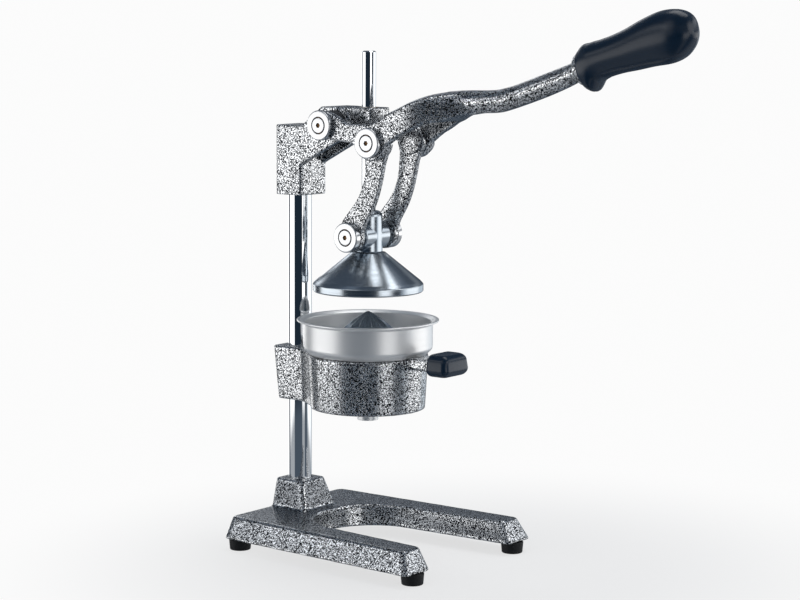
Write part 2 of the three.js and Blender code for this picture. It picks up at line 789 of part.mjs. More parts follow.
const legOutline = outline([
  ...arc(mainPivot, legMainRadius, mainTurn, fullTurn - mainTurn, legSteps),
  [upperPivot.x - legUpperRadius - legWaist, mainPivot.y - legMainRadius - legWaist],
  ...arc(upperPivot, legUpperRadius, upperTurn - 180, -upperTurn, legSteps),
  [forkMouth + legLap, mouthLow + legLap], [forkMouth + legLap, mouthShoulder],
  [upperPivot.x + legUpperRadius / 2, (upperPivot.y + legUpperRadius + mouthShoulder) / 2],
  [upperPivot.x, upperPivot.y + legUpperRadius],
  [mainPivot.x + 2 * legMainRadius + legWaist, mainPivot.y + legWaist],
]);

function arch(half, low, shoulder, crown) {
  const points = [[half, low]];
  for (let i = 0; i <= archSteps; i += 1) {
    const angle = Math.PI * i / archSteps;
    points.push([half * Math.cos(angle), shoulder + (crown - shoulder) * Math.sin(angle)]);
  }
  points.push([-half, low]);
  return points;
}

function forkRing([forward, half, low, shoulder, crown]) {
  return arch(half, low, shoulder, crown).map(([across, up]) => new THREE.Vector3(across, -forward, up));
}

// The opening between the legs, cut from the fork's solid sections up to its blunt end
const opening = forkWallShares.map((share, i) => {
  const [forward, half, low, ...roof] = forkStations[i];
  const back = i === 0 ? cutOverrun : 0;
  const ceiling = roof.map((height) => height - webThickness);
  return [forward - back, half - share * legThickness, low - legThickness, ...ceiling];
});
const [endForward, endHalf, endLow, ...endRoof] = forkStation(forkEndShares);
opening.push([endForward, endHalf, endLow - legThickness, ...endRoof]);
const fork = loft(forkStations.map(forkRing)).subtract(loft(opening.map(forkRing)));

const gripTilt = THREE.MathUtils.degToRad(gripAngle);
const gripDirection = new THREE.Vector2(Math.cos(gripTilt), Math.sin(gripTilt));

// A round body along the grip's axis, between two distances from the flange
function alongGrip(radius, from, to) {
  const body = rod(radius, from, to).rotateX(Math.PI / 2 - gripTilt);
  return solid(body.translate(0, -flangeCentre.x, flangeCentre.y));
}

let lever = joined(
  sidePlate(legOutline, legInner, legOuter),
  sidePlate(legOutline, -legOuter, -legInner),
  fork,
  ovalBar(barShares.map(([reach, rise, halfHeight, halfWidth]) => [
    upperPivot.x + reach * flangeReach, upperPivot.y + rise * flangeRise,
    halfHeight * barHalfHeight, halfWidth * barHalfWidth,
  ])),
  alongGrip(flangeRadius, -flangeThickness / 2, flangeThickness / 2),
  alongGrip(tangRadius, 0, tangLength),
);
for (const [, side] of sides) {
  const reach = [legInner - cutOverrun, legOuter + cutOverrun];
  lever = lever
    .subtract(sideways(rod(mainPinRadius + slideClearance, ...reach), side, mainPivot))
    .subtract(sideways(rod(upperPinRadius + runClearance, ...reach), side, upperPivot));
}
piece('lever_arm', lever, 'hammertone');

// Lever grip

const gripLift = new THREE.Vector2(-gripDirection.y, gripDirection.x);
const gripRings = gripShares.map(([along, top, bottom, half]) => {
  const centre = flangeCentre.clone()
    .addScaledVector(gripDirection, along * gripLength)
    .addScaledVector(gripLift, gripCrest * (top + bottom) / 2);
  return [centre.x, centre.y, gripCrest * (top - bottom) / 2, half * gripHalfWidth];
});
piece('lever_grip', ovalBar(gripRings, gripSquareShare, gripDirection)
  .subtract(alongGrip(tangRadius + runClearance, 0, tangLength + seatGap)), 'blackPlastic');

// Studs at the upper pivot: one half turns with the lever, the other with the link

const linkOuter = linkInner + linkThickness;
for (const [name, side] of sides) {
  const stud = sideways(rod(upperPinRadius, legInner, legOuter), side, upperPivot);
  piece(`upper_stud_${name}`, stud.subtract(screwHole(side, upperPivot, legOuter)), 'steel');
  pivotCap(`upper_${name}`, side, upperPivot, legOuter + seatGap, upperCapFace);
  piece(`link_stud_${name}`, sideways(turned([
    [0, linkInner - seatGap - linkHeadHeight], [linkHeadRadius, linkInner - seatGap - linkHeadHeight],
    [linkHeadRadius, linkInner - seatGap], [upperPinRadius, linkInner - seatGap],
    [upperPinRadius, linkOuter], [0, linkOuter],
  ], roundSides), side, upperPivot), 'hammertone');
}

// Links

function linkOutline() {
  const chord = lowerPivot.clone().sub(upperPivot);
  const front = new THREE.Vector2(-chord.y, chord.x).normalize();
  const edgePoint = (along, out) => (
    upperPivot.clone().addScaledVector(chord, along).addScaledVector(front, out * linkWidth).toArray()
  );
  const frontEdge = linkEdgeShares.map(([along, ahead]) => edgePoint(along, ahead));
  const rearEdge = linkEdgeShares.map(([along, , behind]) => edgePoint(along, behind));
  const angle = THREE.MathUtils.radToDeg(front.angle());
  const [topRear, topFront] = linkTopTurns;
  const [footFrontTurn, footRearTurn] = linkFootTurns;
  return outline([
    ...arc(upperPivot, linkTopRadius, angle + 180 + topRear, angle + topFront, linkEndSteps),
    ...frontEdge,
    ...arc(lowerPivot, linkFootRadius, angle + footFrontTurn, angle - 180 + footRearTurn, linkEndSteps),
    ...rearEdge.reverse(),
  ]);
}

for (const [name, side] of sides) {
  const [low, high] = side < 0 ? [-linkOuter, -linkInner] : [linkInner, linkOuter];
  const reach = [linkInner - cutOverrun, linkOuter + cutOverrun];
  piece(`link_${name}`, sidePlate(linkOutline(), low, high)
    .subtract(sideways(rod(upperPinRadius + runClearance, ...reach), side, upperPivot))
    .subtract(sideways(rod(lowerPinRadius + slideClearance, ...reach), side, lowerPivot)), 'hammertone');
}

// Crosshead, guide rod and the lower pin with its caps

let lowerPin = crossBore(lowerPinRadius, lowerPivot, linkOuter);
for (const [name, side] of sides) {
  lowerPin = lowerPin.subtract(screwHole(side, lowerPivot, linkOuter));
  pivotCap(`lower_${name}`, side, lowerPivot, linkOuter + seatGap, lowerCapFace);
}
piece('lower_pin', lowerPin, 'steel');

const coneTop = lowerPivot.y - coneDrop;
const coneHole = coneScrewRadius + runClearance;
const hubTop = lowerPivot.y + hubRise;
const rodSeat = lowerPivot.y + rodSeatRise;
const coneScrewTop = coneTop + coneScrewGrip;
const hub = joined(
  standing(turned([
    [0, coneTop + seatGap], [hubRadius, coneTop + seatGap], [hubRadius, hubTop - hubRound],
    [hubRadius - hubRound / 3, hubTop - hubRound / 3], [hubRadius - hubRound, hubTop], [0, hubTop],
  ], roundSides), 0, rodOffset),
  crossBore(hubBarrelRadius, lowerPivot, hubBarrelReach),
  crossBore(hubArmRadius, lowerPivot, hubArmReach),
)
  .subtract(standing(rod(rodRadius + runClearance, rodSeat, hubTop + cutOverrun), 0, rodOffset))
  .subtract(standing(rod(coneHole, coneTop - cutOverrun, coneScrewTop + seatGap, smallSides), 0, rodOffset))
  .subtract(crossBore(lowerPinRadius + runClearance, lowerPivot, hubArmReach + cutOverrun));
piece('crosshead', hub, 'aluminium');

const rodTop = bridgeTop + rodProud;
piece('guide_rod', standing(turned([
  [0, rodSeat + seatGap], [rodRadius, rodSeat + seatGap], [rodRadius, rodTop - rodChamfer],
  [rodRadius - rodChamfer, rodTop], [0, rodTop],
], roundSides), 0, rodOffset), 'chrome');

// Pressing cone with its washer and screw

const coneSeat = coneTop - coneCrown;
const coneShoulderHeight = coneTop - coneSlope;
const coneRimBottom = coneShoulderHeight - coneSkirt;
piece('press_cone', standing(turned([
  [coneHole, coneSeat], [coneCrownRadius, coneSeat],
  [coneShoulderRadius - coneWall, coneShoulderHeight - coneWall],
  [coneRimRadius - coneWall, coneRimBottom], [coneRimRadius - coneEdge, coneRimBottom],
  [coneRimRadius, coneRimBottom + coneEdge], [coneRimRadius, coneRimBottom + coneBand],
  [coneShoulderRadius, coneShoulderHeight], [coneTopRadius, coneTop], [coneHole, coneTop],
  [coneHole, coneSeat],
], wideSides), 0, rodOffset), 'aluminium');
const coneWasherTop = coneSeat - seatGap;
const coneWasherLow = coneWasherTop - coneWasherHeight;
piece('cone_washer', standing(turned([
  [coneHole, coneWasherLow], [coneWasherRadius, coneWasherLow], [coneWasherRadius, coneWasherTop],
  [coneHole, coneWasherTop], [coneHole, coneWasherLow],
], smallSides), 0, rodOffset), 'steel');
const screwHeadTop = coneWasherLow - seatGap;
const screwHeadLow = screwHeadTop - coneScrewHeadHeight;
piece('cone_screw', joined(
  standing(rod(coneScrewHeadRadius, screwHeadLow, screwHeadTop, hexSides), 0, rodOffset),
  standing(rod(coneScrewRadius, (screwHeadLow + screwHeadTop) / 2, coneScrewTop, smallSides), 0, rodOffset),
), 'steel');

// Juice bowl

const bowlSeat = holderTop + seatGap;
const bowlRimTop = holderTop + bowlRise;
const sumpBottom = holderTop - sumpDepth;
const funnelBottom = sumpBottom - funnelDepth;
const spoutBottom = holderBottom - spoutDrop;
const bowlInner = bowlWallRadius - bowlWall;
const cornerCentre = new THREE.Vector2(bowlWallRadius - bowlCornerRadius, bowlSeat + bowlCornerRadius);
const sumpInner = sumpRadius - bowlWall;
piece('bowl', standing(turned([
  [sumpInner, bowlSeat],
  ...arc(cornerCentre, bowlCornerRadius, -90, 0, bowlCornerSteps),
  [bowlWallRadius, bowlRimTop - bowlRimHeight], [bowlRimRadius, bowlRimTop - bowlRimHeight],
  [bowlRimRadius, bowlRimTop], [bowlLipRadius, bowlRimTop], [bowlInner, bowlRimTop - bowlRimHeight / 2],
  ...arc(cornerCentre, bowlCornerRadius - bowlWall, 0, -90, bowlCornerSteps),
  [sumpInner, bowlSeat + bowlWall], [sumpInner, bowlSeat],
], wideSides), 0, rodOffset), 'steel');

// Sump and spout, welded under the bowl
const spoutInner = spoutRadius - bowlWall;
piece('bowl_sump', standing(turned([
  [spoutInner, funnelBottom], [spoutRadius, funnelBottom], [sumpRadius, sumpBottom],
  [sumpRadius, bowlSeat], [sumpInner, bowlSeat], [sumpInner, sumpBottom + bowlWall],
  [spoutInner, funnelBottom + bowlWall], [spoutInner, funnelBottom],
], wideSides), 0, rodOffset), 'steel');
piece('bowl_spout', standing(turned([
  [spoutInner, spoutBottom], [spoutRadius, spoutBottom], [spoutRadius, funnelBottom],
  [spoutInner, funnelBottom], [spoutInner, spoutBottom],
], roundSides), 0, rodOffset), 'steel');

// Strainer plate with slots round the reamer

const strainerLow = bowlSeat + bowlWall + seatGap;
const strainerTop = strainerLow + strainerPlate;
const strainerRim = strainerTop + strainerRimHeight;
const strainerInner = strainerRadius - strainerPlate;
let strainer = standing(turned([
  [0, strainerLow], [strainerRadius - bowlCornerRadius, strainerLow],
  [strainerRadius, strainerLow + bowlCornerRadius], [strainerRadius, strainerRim],
  [strainerInner, strainerRim], [strainerInner, strainerTop + bowlCornerRadius],
  [strainerInner - bowlCornerRadius, strainerTop], [0, strainerTop],
], wideSides), 0, rodOffset);
for (let i = 0; i < strainerSlots; i += 1) {
  const slot = new THREE.BoxGeometry(strainerSlotLength, strainerSlotWidth, strainerPlate + 2 * cutOverrun)
    .translate(strainerSlotStart + strainerSlotLength / 2, 0, (strainerLow + strainerTop) / 2)
    .rotateZ(2 * Math.PI * i / strainerSlots)
    .translate(0, -rodOffset, 0);
  strainer = strainer.subtract(solid(slot));
}
piece('strainer', strainer, 'steel');

// Ribbed reamer: a dome whose radius swells and sinks round its ribs

const reamerLow = strainerTop + seatGap;
function reamerRing(radius, height) {
  const ring = [];
  for (let i = 0; i < reamerSides; i += 1) {
    const angle = 2 * Math.PI * i / reamerSides;
    const ribbed = radius * (1 - reamerRibShare * (1 + Math.cos(reamerRibs * angle)) / 2);
    ring.push(new THREE.Vector3(ribbed * Math.cos(angle), ribbed * Math.sin(angle) - rodOffset, height));
  }
  return ring;
}
const reamerDome = [];
reamerProfileShares.forEach((share, i) => {
  const climb = (reamerHeight - reamerFootHeight / 2) * i / reamerProfileShares.length;
  reamerDome.push(reamerRing(reamerRootRadius * share, reamerLow + reamerFootHeight / 2 + climb));
});
reamerDome.push(reamerRing(reamerTipRadius, reamerLow + reamerHeight));
piece('reamer', joined(
  standing(rod(reamerFootRadius, reamerLow, reamerLow + reamerFootHeight, wideSides), 0, rodOffset),
  loft(reamerDome),
), 'aluminium');

// The origin is the middle of the footprint, on the floor
const bounds = new THREE.Box3().setFromObject(press);
const middle = bounds.getCenter(new THREE.Vector3());
press.position.set(-middle.x, -middle.y, -bounds.min.z);

export default press;
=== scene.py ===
import math
import bmesh
import bpy
from mathutils import Matrix, Vector


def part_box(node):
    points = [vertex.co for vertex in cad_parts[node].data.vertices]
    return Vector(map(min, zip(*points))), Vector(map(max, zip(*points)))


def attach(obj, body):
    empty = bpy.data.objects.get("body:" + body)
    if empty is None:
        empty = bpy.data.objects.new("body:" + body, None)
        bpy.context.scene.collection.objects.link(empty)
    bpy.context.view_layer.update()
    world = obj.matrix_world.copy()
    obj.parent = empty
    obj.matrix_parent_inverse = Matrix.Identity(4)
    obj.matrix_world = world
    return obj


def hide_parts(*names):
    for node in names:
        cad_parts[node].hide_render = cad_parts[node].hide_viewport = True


# The press is drawn in millimetres as (across, forward, up) from the column's axis on the floor
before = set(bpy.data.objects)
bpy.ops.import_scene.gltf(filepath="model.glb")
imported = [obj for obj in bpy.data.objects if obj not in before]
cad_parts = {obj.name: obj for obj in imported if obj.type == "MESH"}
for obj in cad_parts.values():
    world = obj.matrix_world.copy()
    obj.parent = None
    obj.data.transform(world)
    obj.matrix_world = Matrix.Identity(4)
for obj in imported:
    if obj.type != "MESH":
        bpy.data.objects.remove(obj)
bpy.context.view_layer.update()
columnLow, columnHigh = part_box("column")
columnY = (columnLow[1] + columnHigh[1]) / 2
metre = 0.001
sides = {"left": -1, "right": 1}


def toFrame(point):
    across, forward, up = point
    return Vector((across * metre, columnY - forward * metre, up * metre))


# Where a CAD node lies, in the script's own units: (low, high) across, forward and up
def limitsOf(node):
    low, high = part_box(node)
    pairs = ((low[0], high[0]), (columnY - high[1], columnY - low[1]), (low[2], high[2]))
    return [(round(start / metre, 2), round(end / metre, 2)) for start, end in pairs]


def middleOf(node):
    return tuple(round(sum(pair) / 2, 2) for pair in limitsOf(node))


# Pivots are (forward, up), and upright axes are (across, forward)
mainPivot = middleOf("main_pin")[1:]
upperPivot = middleOf("upper_left_cap")[1:]
lowerPivot = middleOf("lower_pin")[1:]
columnAxis = (0, 0)
bowlAxis = (0, middleOf("guide_rod")[1])


# Meshes

def addObject(name, data):
    made = bpy.data.objects.new(name, data)
    bpy.context.scene.collection.objects.link(made)
    return made


def makeSolid(name, points, faces):
    mesh = bpy.data.meshes.new(name)
    mesh.from_pydata([toFrame(p) for p in points], [], faces)
    work = bmesh.new()
    work.from_mesh(mesh)
    bmesh.ops.remove_doubles(work, verts=work.verts, dist=2e-6)
    bmesh.ops.dissolve_degenerate(work, edges=work.edges, dist=1e-7)
    bmesh.ops.recalc_face_normals(work, faces=work.faces)
    work.to_mesh(mesh)
    work.free()
    return addObject(name, mesh)


def bakeModifiers(solid):
    depsgraph = bpy.context.evaluated_depsgraph_get()
    mesh = bpy.data.meshes.new_from_object(solid.evaluated_get(depsgraph))
    old = solid.data
    solid.modifiers.clear()
    solid.data = mesh
    mesh.name = solid.name
    bpy.data.meshes.remove(old)
    return solid


def drop(solid):
    mesh = solid.data
    bpy.data.objects.remove(solid)
    bpy.data.meshes.remove(mesh)


def join(name, parts):
    work = bmesh.new()
    for part in parts:
        work.from_mesh(part.data)
    mesh = bpy.data.meshes.new(name)
    work.to_mesh(mesh)
    work.free()
    for part in parts:
        drop(part)
    return addObject(name, mesh)


def cut(solid, cutters, operation="DIFFERENCE"):
    for cutter in cutters:
        boolean = solid.modifiers.new("cut", "BOOLEAN")
        boolean.operation = operation
        boolean.solver = "EXACT"
        boolean.object = cutter
    bakeModifiers(solid)
    for cutter in cutters:
        drop(cutter)
    return solid


# Rounded corners of a closed outline: each corner is (a, b) or (a, b, radius)
def rounded(corners, steps=5):
    result = []
    count = len(corners)
    for i, corner in enumerate(corners):
        here = Vector(corner[:2])
        radius = corner[2] if len(corner) > 2 else 0
        before = Vector(corners[i - 1][:2]) - here
        after = Vector(corners[(i + 1) % count][:2]) - here
        if radius <= 0 or before.length < 1e-6 or after.length < 1e-6:
            result.append(tuple(here))
            continue
        before.normalize()
        after.normalize()
        half = before.angle(after) / 2
        if half > math.pi / 2 - 0.02:   # nearly straight
            result.append(tuple(here))
            continue
        centre = here + (before + after).normalized() * (radius / math.sin(half))
        start = here + before * (radius / math.tan(half)) - centre
        end = here + after * (radius / math.tan(half)) - centre
        sweep = start.angle_signed(end)
        for k in range(steps + 1):
            turn = Matrix.Rotation(-sweep * k / steps, 2)
            result.append(tuple(centre + turn @ start))
    return result


# A rounded rectangle across the middle, with a radius for its low and its high corners
def roundedBox(half, low, high, lowCorner, highCorner, steps=5):
    return rounded([(-half, low, lowCorner), (half, low, lowCorner),
                    (half, high, highCorner), (-half, high, highCorner)], steps)


def arc(centre, radius, start, end, steps):
    points = []
    for i in range(steps + 1):
        angle = math.radians(start + (end - start) * i / steps)
        points.append((centre[0] + radius * math.cos(angle), centre[1] + radius * math.sin(angle)))
    return points


# A turned body: a closed profile of (radius, height, corner radius) round an axis
def lathe(name, profile, place, axis="Z", side=1, segments=96, steps=5):
    outline = rounded(profile, steps)
    count = segments
    points = []
    for i in range(count):
        angle = 2 * math.pi * i / count
        c, s = math.cos(angle), math.sin(angle)
        for radius, height in outline:
            radius = max(radius, 0)
            if axis == "Z":
                points.append((place[0] + radius * c, place[1] + radius * s, height))
            elif axis == "X":
                points.append((side * height, place[0] + radius * c, place[1] + radius * s))
            else:
                points.append((radius * c, place[0] + height, place[1] + radius * s))
    length = len(outline)
    faces = []
    for i in range(count):
        here, ahead = i * length, (i + 1) % count * length
        for j in range(length):
            after = (j + 1) % length
            faces.append((here + j, here + after, ahead + after, ahead + j))
    return makeSolid(name, points, faces)


def loft(name, rings):
    count = len(rings[0])
    points = [p for ring in rings for p in ring]
    faces = []
    for r in range(len(rings) - 1):
        for i in range(count):
            j = (i + 1) % count
            faces.append((r * count + i, r * count + j, (r + 1) * count + j, (r + 1) * count + i))
    faces.append(tuple(range(count)))
    faces.append(tuple(range((len(rings) - 1) * count, len(rings) * count)))
    return makeSolid(name, points, faces)


# Plates: an outline in (forward, up) between two across values, or in (across, forward) between heights
def sidePlate(name, outline, low, high):
    return loft(name, [[(w, f, z) for f, z in outline] for w in (low, high)])


def uprightBlock(name, levels):
    return loft(name, [[(w, f, height) for w, f in outline] for outline, height in levels])


# A cylinder, whose size is (radius, low, high); edges and mouths are its low and high corner radii
def rod(name, size, place, axis="Z", side=1, segments=64, edges=(0, 0), bore=0, mouths=(0, 0)):
    radius, low, high = size
    profile = [(bore, low, mouths[0]), (radius, low, edges[0]),
               (radius, high, edges[1]), (bore, high, mouths[1])]
    return lathe(name, profile, place, axis, side, segments)


def bevelEdges(solid, width, segments, angle):
    bevel = solid.modifiers.new("bevel", "BEVEL")
    bevel.width = width * metre
    bevel.segments = segments
    bevel.limit_method = "ANGLE"
    bevel.angle_limit = math.radians(angle)
    bevel.harden_normals = False
    return bakeModifiers(solid)


# A casting's skin: the overlapping solids are fused into one surface and softened; skin is (cell, passes)
def castSkin(solid, skin):
    voxel, passes = skin
    remesh = solid.modifiers.new("fuse", "REMESH")
    remesh.mode = "VOXEL"
    remesh.voxel_size = voxel * metre * 1
    soften = solid.modifiers.new("soften", "SMOOTH")
    soften.factor = 0.5
    soften.iterations = passes
    return bakeModifiers(solid)


def smoothShade(solid, angle):
    mesh = solid.data
    mesh.shade_smooth()
    work = bmesh.new()
    work.from_mesh(mesh)
    limit = math.radians(angle)
    for edge in work.edges:
        edge.smooth = len(edge.link_faces) == 2 and edge.calc_face_angle(0) < limit
    work.to_mesh(mesh)
    work.free()
    return solid


# Node trees

def linear(value):
    channels = [int(value[i:i + 2], 16) / 255 for i in (1, 3, 5)]
    return tuple(c / 12.92 if c <= 0.04045 else ((c + 0.055) / 1.055) ** 2.4 for c in channels) + (1,)


def addNode(tree, kind, values=None, **settings):
    node = tree.nodes.new(kind)
    for key, value in settings.items():
        setattr(node, key, value)
    for key, value in (values or {}).items():
        socket = node.inputs[key]
        if isinstance(value, bpy.types.NodeSocket):
            tree.links.new(value, socket)
        else:
            socket.default_value = value
    return node


def addMath(tree, operation, *values):
    return addNode(tree, "ShaderNodeMath", dict(enumerate(values)), operation=operation).outputs["Value"]


def addRange(tree, value, start, end, low=0.0, high=1.0, **settings):
    node = addNode(tree, "ShaderNodeMapRange", {
        "Value": value, "From Min": start, "From Max": end, "To Min": low, "To Max": high}, **settings)
    return node.outputs["Result"]


def addRamp(tree, factor, stops):
    node = addNode(tree, "ShaderNodeValToRGB", {"Fac": factor})
    elements = node.color_ramp.elements
    while len(elements) < len(stops):
        elements.new(0.5)
    for element, (position, color) in zip(elements, stops):
        element.position = position
        element.color = color if isinstance(color, tuple) else (color, color, color, 1)
    return node.outputs["Color"]


def addBump(tree, height, strength, depth):
    node = addNode(tree, "ShaderNodeBump", {"Height": height, "Strength": strength, "Distance": depth})
    return node.outputs["Normal"]


def addMix(tree, factor, first, second):
    node = addNode(tree, "ShaderNodeMix", {"Factor": factor, "A": first, "B": second}, data_type="RGBA")
    return node.outputs["Result"]


def objectPoint(tree, scale=(1, 1, 1)):
    coordinates = addNode(tree, "ShaderNodeTexCoord")
    mapping = addNode(tree, "ShaderNodeMapping", {"Vector": coordinates.outputs["Object"], "Scale": scale})
    return mapping.outputs["Vector"]


def addNoise(tree, scale, detail, stretch=(1, 1, 1), distortion=0.0):
    node = addNode(tree, "ShaderNodeTexNoise", {
        "Vector": objectPoint(tree, stretch), "Scale": scale, "Detail": detail, "Distortion": distortion})
    return node.outputs["Fac"]


# Materials

def newMaterial(name):
    material = bpy.data.materials.new(name)
    material.use_nodes = True
    tree = material.node_tree
    tree.nodes.clear()
    return material, tree


def finishMaterial(tree, values):
    shader = addNode(tree, "ShaderNodeBsdfPrincipled", values)
    addNode(tree, "ShaderNodeOutputMaterial", {"Surface": shader.outputs["BSDF"]})


# Hammertone enamel on the castings: silver flake that has drawn together between dark wandering veins
enamel = {"scale": 680, "wander": 0.4, "vein": 0.063, "flake": 0.085, "bump": 0.4, "depth": 0.00025,
          "dark": "#0b0f14", "grey": "#4b535b", "silver": "#f6f8fa",
          "metallic": 0.9, "roughness": 0.22, "coat": 0.15, "coatRoughness": 0.12}


def hammertoneEnamel():
    material, tree = newMaterial("hammertoneEnamel")
    swirl = addNoise(tree, enamel["scale"], 1, distortion=enamel["wander"])
    ridge = addMath(tree, "ABSOLUTE", addMath(tree, "SUBTRACT", swirl, 0.5))
    flake = addRamp(tree, ridge, [(enamel["vein"], 0.0), (enamel["flake"], 1.0)])
    dark, grey, silver = [linear(enamel[shade]) for shade in ("dark", "grey", "silver")]
    finishMaterial(tree, {
        "Base Color": addRamp(tree, flake, [(0.0, dark), (0.5, grey), (1.0, silver)]),
        "Metallic": enamel["metallic"], "Roughness": enamel["roughness"],
        "Normal": addBump(tree, flake, enamel["bump"], enamel["depth"]),
        "Coat Weight": enamel["coat"], "Coat Roughness": enamel["coatRoughness"]})
    return material


# Bright chrome on the column and the guide rod
def brightChrome():
    material, tree = newMaterial("brightChrome")
    finishMaterial(tree, {"Base Color": linear("#e4e6e8"), "Metallic": 1, "Roughness": 0.05})
    return material


# Lines left by turning or spinning: a noise drawn out round the part's own axis
def turnedMetal(name, color, roughness, spread, stretch, strength, metallic=1):
    material, tree = newMaterial(name)
    lines = addNoise(tree, 1, 3, stretch)
    finishMaterial(tree, {
        "Base Color": linear(color), "Metallic": metallic,
        "Roughness": addRange(tree, lines, 0.3, 0.7, roughness - spread, roughness + spread),
        "Normal": addBump(tree, lines, strength, 0.0001)})
    return material


# Satin black moulding with a fine grain
def blackMoulding(name, color, roughness):
    material, tree = newMaterial(name)
    grain = addNoise(tree, 2600, 2)
    finishMaterial(tree, {
        "Base Color": linear(color), "Roughness": roughness, "Specular IOR Level": 0.4,
        "Normal": addBump(tree, grain, 0.12, 0.0002)})
    return material


# Matt rubber with a dusty grain
def footRubber():
    material, tree = newMaterial("footRubber")
    grain = addNoise(tree, 1500, 3)
    finishMaterial(tree, {
        "Base Color": addRamp(tree, grain, [(0.3, linear("#0f1012")), (0.8, linear("#1d1e20"))]),
        "Roughness": 0.7, "Normal": addBump(tree, grain, 0.2, 0.0002)})
    return material


finishes = {
    "hammertone_paint": hammertoneEnamel(),
    "chrome_plate": brightChrome(),
    # Polished caps, screws and pins
    "bright_steel": turnedMetal("polishedSteel", "#d3d4d5", 0.2, 0.05, (90, 90, 90), 0.05),
    # Spun stainless bowl with level brush lines
    "stainless_steel": turnedMetal("spunStainless", "#fbfbfa", 0.38, 0.04, (25, 25, 2200), 0.04, 0.7),
    # Polished casting of the cone and the crosshead
    "cast_aluminium": turnedMetal("polishedAluminium", "#b9c1c8", 0.22, 0.05, (40, 40, 1400), 0.08),
    "black_plastic": blackMoulding("blackMoulding", "#10263a", 0.26),
    "black_rubber": footRubber(),
    # Spacers of dull nylon and a bronze bush
    "black_nylon": blackMoulding("blackNylon", "#202327", 0.5),
    "bronze": turnedMetal("dullBronze", "#a98a58", 0.35, 0.05, (90, 90, 900), 0.05),
}
# Painted shade: a brown finish that darkens the screw sockets and the hollows round the screw heads
paintedHollowShade = turnedMetal("paintedHollowShade", "#6b5138", 0.45, 0.05, (400, 400, 400), 0.05)
# Edges sharper than this many degrees stay sharp; a casting's surfaces run into each other more softly
turnedEdge, castEdge = 32, 50


def finishPiece(solid, body, slot, *nodes, angle=turnedEdge):
    smoothShade(solid, angle)
    solid.data.materials.clear()
    solid.data.materials.append(finishes[slot])
    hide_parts(*nodes)
    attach(solid, body)
    return solid


# Rubber feet: tapered, with rounded lips and a recess for the screw
foot = {"rim": 9.6, "sole": 8.8, "height": 9.2, "recess": 5, "recessHeight": 4.6, "screwWay": 2.1}
rim, sole, height, recess, recessHeight, screwWay = foot.values()
footProfile = [
    (screwWay, recessHeight), (recess, recessHeight, 0.3), (recess, 0, 0.5), (sole, 0, 0.9),
    (rim, height, 0.4), (screwWay, height)]
corners = [f"{end}_{sideName}" for end in ("front", "rear") for sideName in sides]
for corner in corners:
    piece = lathe(f"foot_rubber_{corner}", footProfile, middleOf(f"foot_{corner}")[:2], segments=64)
    finishPiece(piece, "frame", "black_rubber", f"foot_{corner}")
print("feet done")

# Base casting: a U open to the front whose sides flare downward, and a pedestal for the column
base = {"bottom": 9.5, "top": 28.2, "rear": 15.5, "front": 177, "outerRear": 73, "outerFront": 79.5,
        "innerFront": 57, "bay": 51, "bayCentre": 82, "corner": 5, "rearCorner": 6,
        "flareOut": 7.5, "flareIn": 3, "flareFront": 9, "flareRear": 3, "skin": (1.05, 7),
        "socket": (10.15, 34, 60), "boltWay": (4.1, 0, 40), "boltRecess": (8.7, 0, 17.5),
        "screwWay": (screwWay, 0, 21)}
pedestal = {"bottom": 18, "top": 52.5, "half": 22, "front": 23, "topHalf": 15.5, "rear": 15.4, "corner": 4}
legPocket = {"middle": 68.25, "half": 6.5, "rear": 14, "front": 158, "corner": 6, "top": 21.5}


def baseOutline(flare):
    tip = base["front"] + base["flareFront"] * flare
    heel = -base["rear"] - base["flareRear"] * flare
    outer = base["outerFront"] + base["flareOut"] * flare
    inner = base["innerFront"] - base["flareIn"] * flare
    back = base["outerRear"] + base["flareOut"] * flare
    bay = arc((0, base["bayCentre"]), base["bay"] - base["flareIn"] * flare, 180, 360, 60)
    corner, rearCorner = base["corner"], base["rearCorner"]
    return rounded([(-outer, tip, corner), (-inner, tip, corner), *bay, (inner, tip, corner),
                    (outer, tip, corner), (back, heel, rearCorner), (-back, heel, rearCorner)])


def pedestalOutline(half, front):
    return roundedBox(half, -pedestal["rear"], front, pedestal["corner"], pedestal["corner"])


foundation = pedestalOutline(pedestal["half"], pedestal["front"])
piece = join("base_casting_skin", [
    uprightBlock("legs", [(baseOutline(1), base["bottom"]), (baseOutline(0), base["top"])]),
    uprightBlock("pedestal", [
        (foundation, pedestal["bottom"]), (foundation, base["top"]),
        (pedestalOutline(pedestal["topHalf"], pedestal["topHalf"]), pedestal["top"])])])
castSkin(piece, base["skin"])
pockets = [rod(way, base[way], columnAxis) for way in ("socket", "boltWay", "boltRecess")]
middle, half, rear, front, corner, top = legPocket.values()
for sideName, side in sides.items():
    pocketOutline = [(side * middle + w, f) for w, f in roundedBox(half, rear, front, corner, corner)]
    pockets.append(uprightBlock("legPocket", [(pocketOutline, 0), (pocketOutline, top)]))
    for end in ("rear", "front"):
        place = middleOf(f"foot_{end}_{sideName}")[:2]
        pockets.append(rod("screwWay", base["screwWay"], place, segments=24))
cut(piece, pockets)
finishPiece(piece, "frame", "hammertone_paint", "base_casting", angle=castEdge)
print("base done")

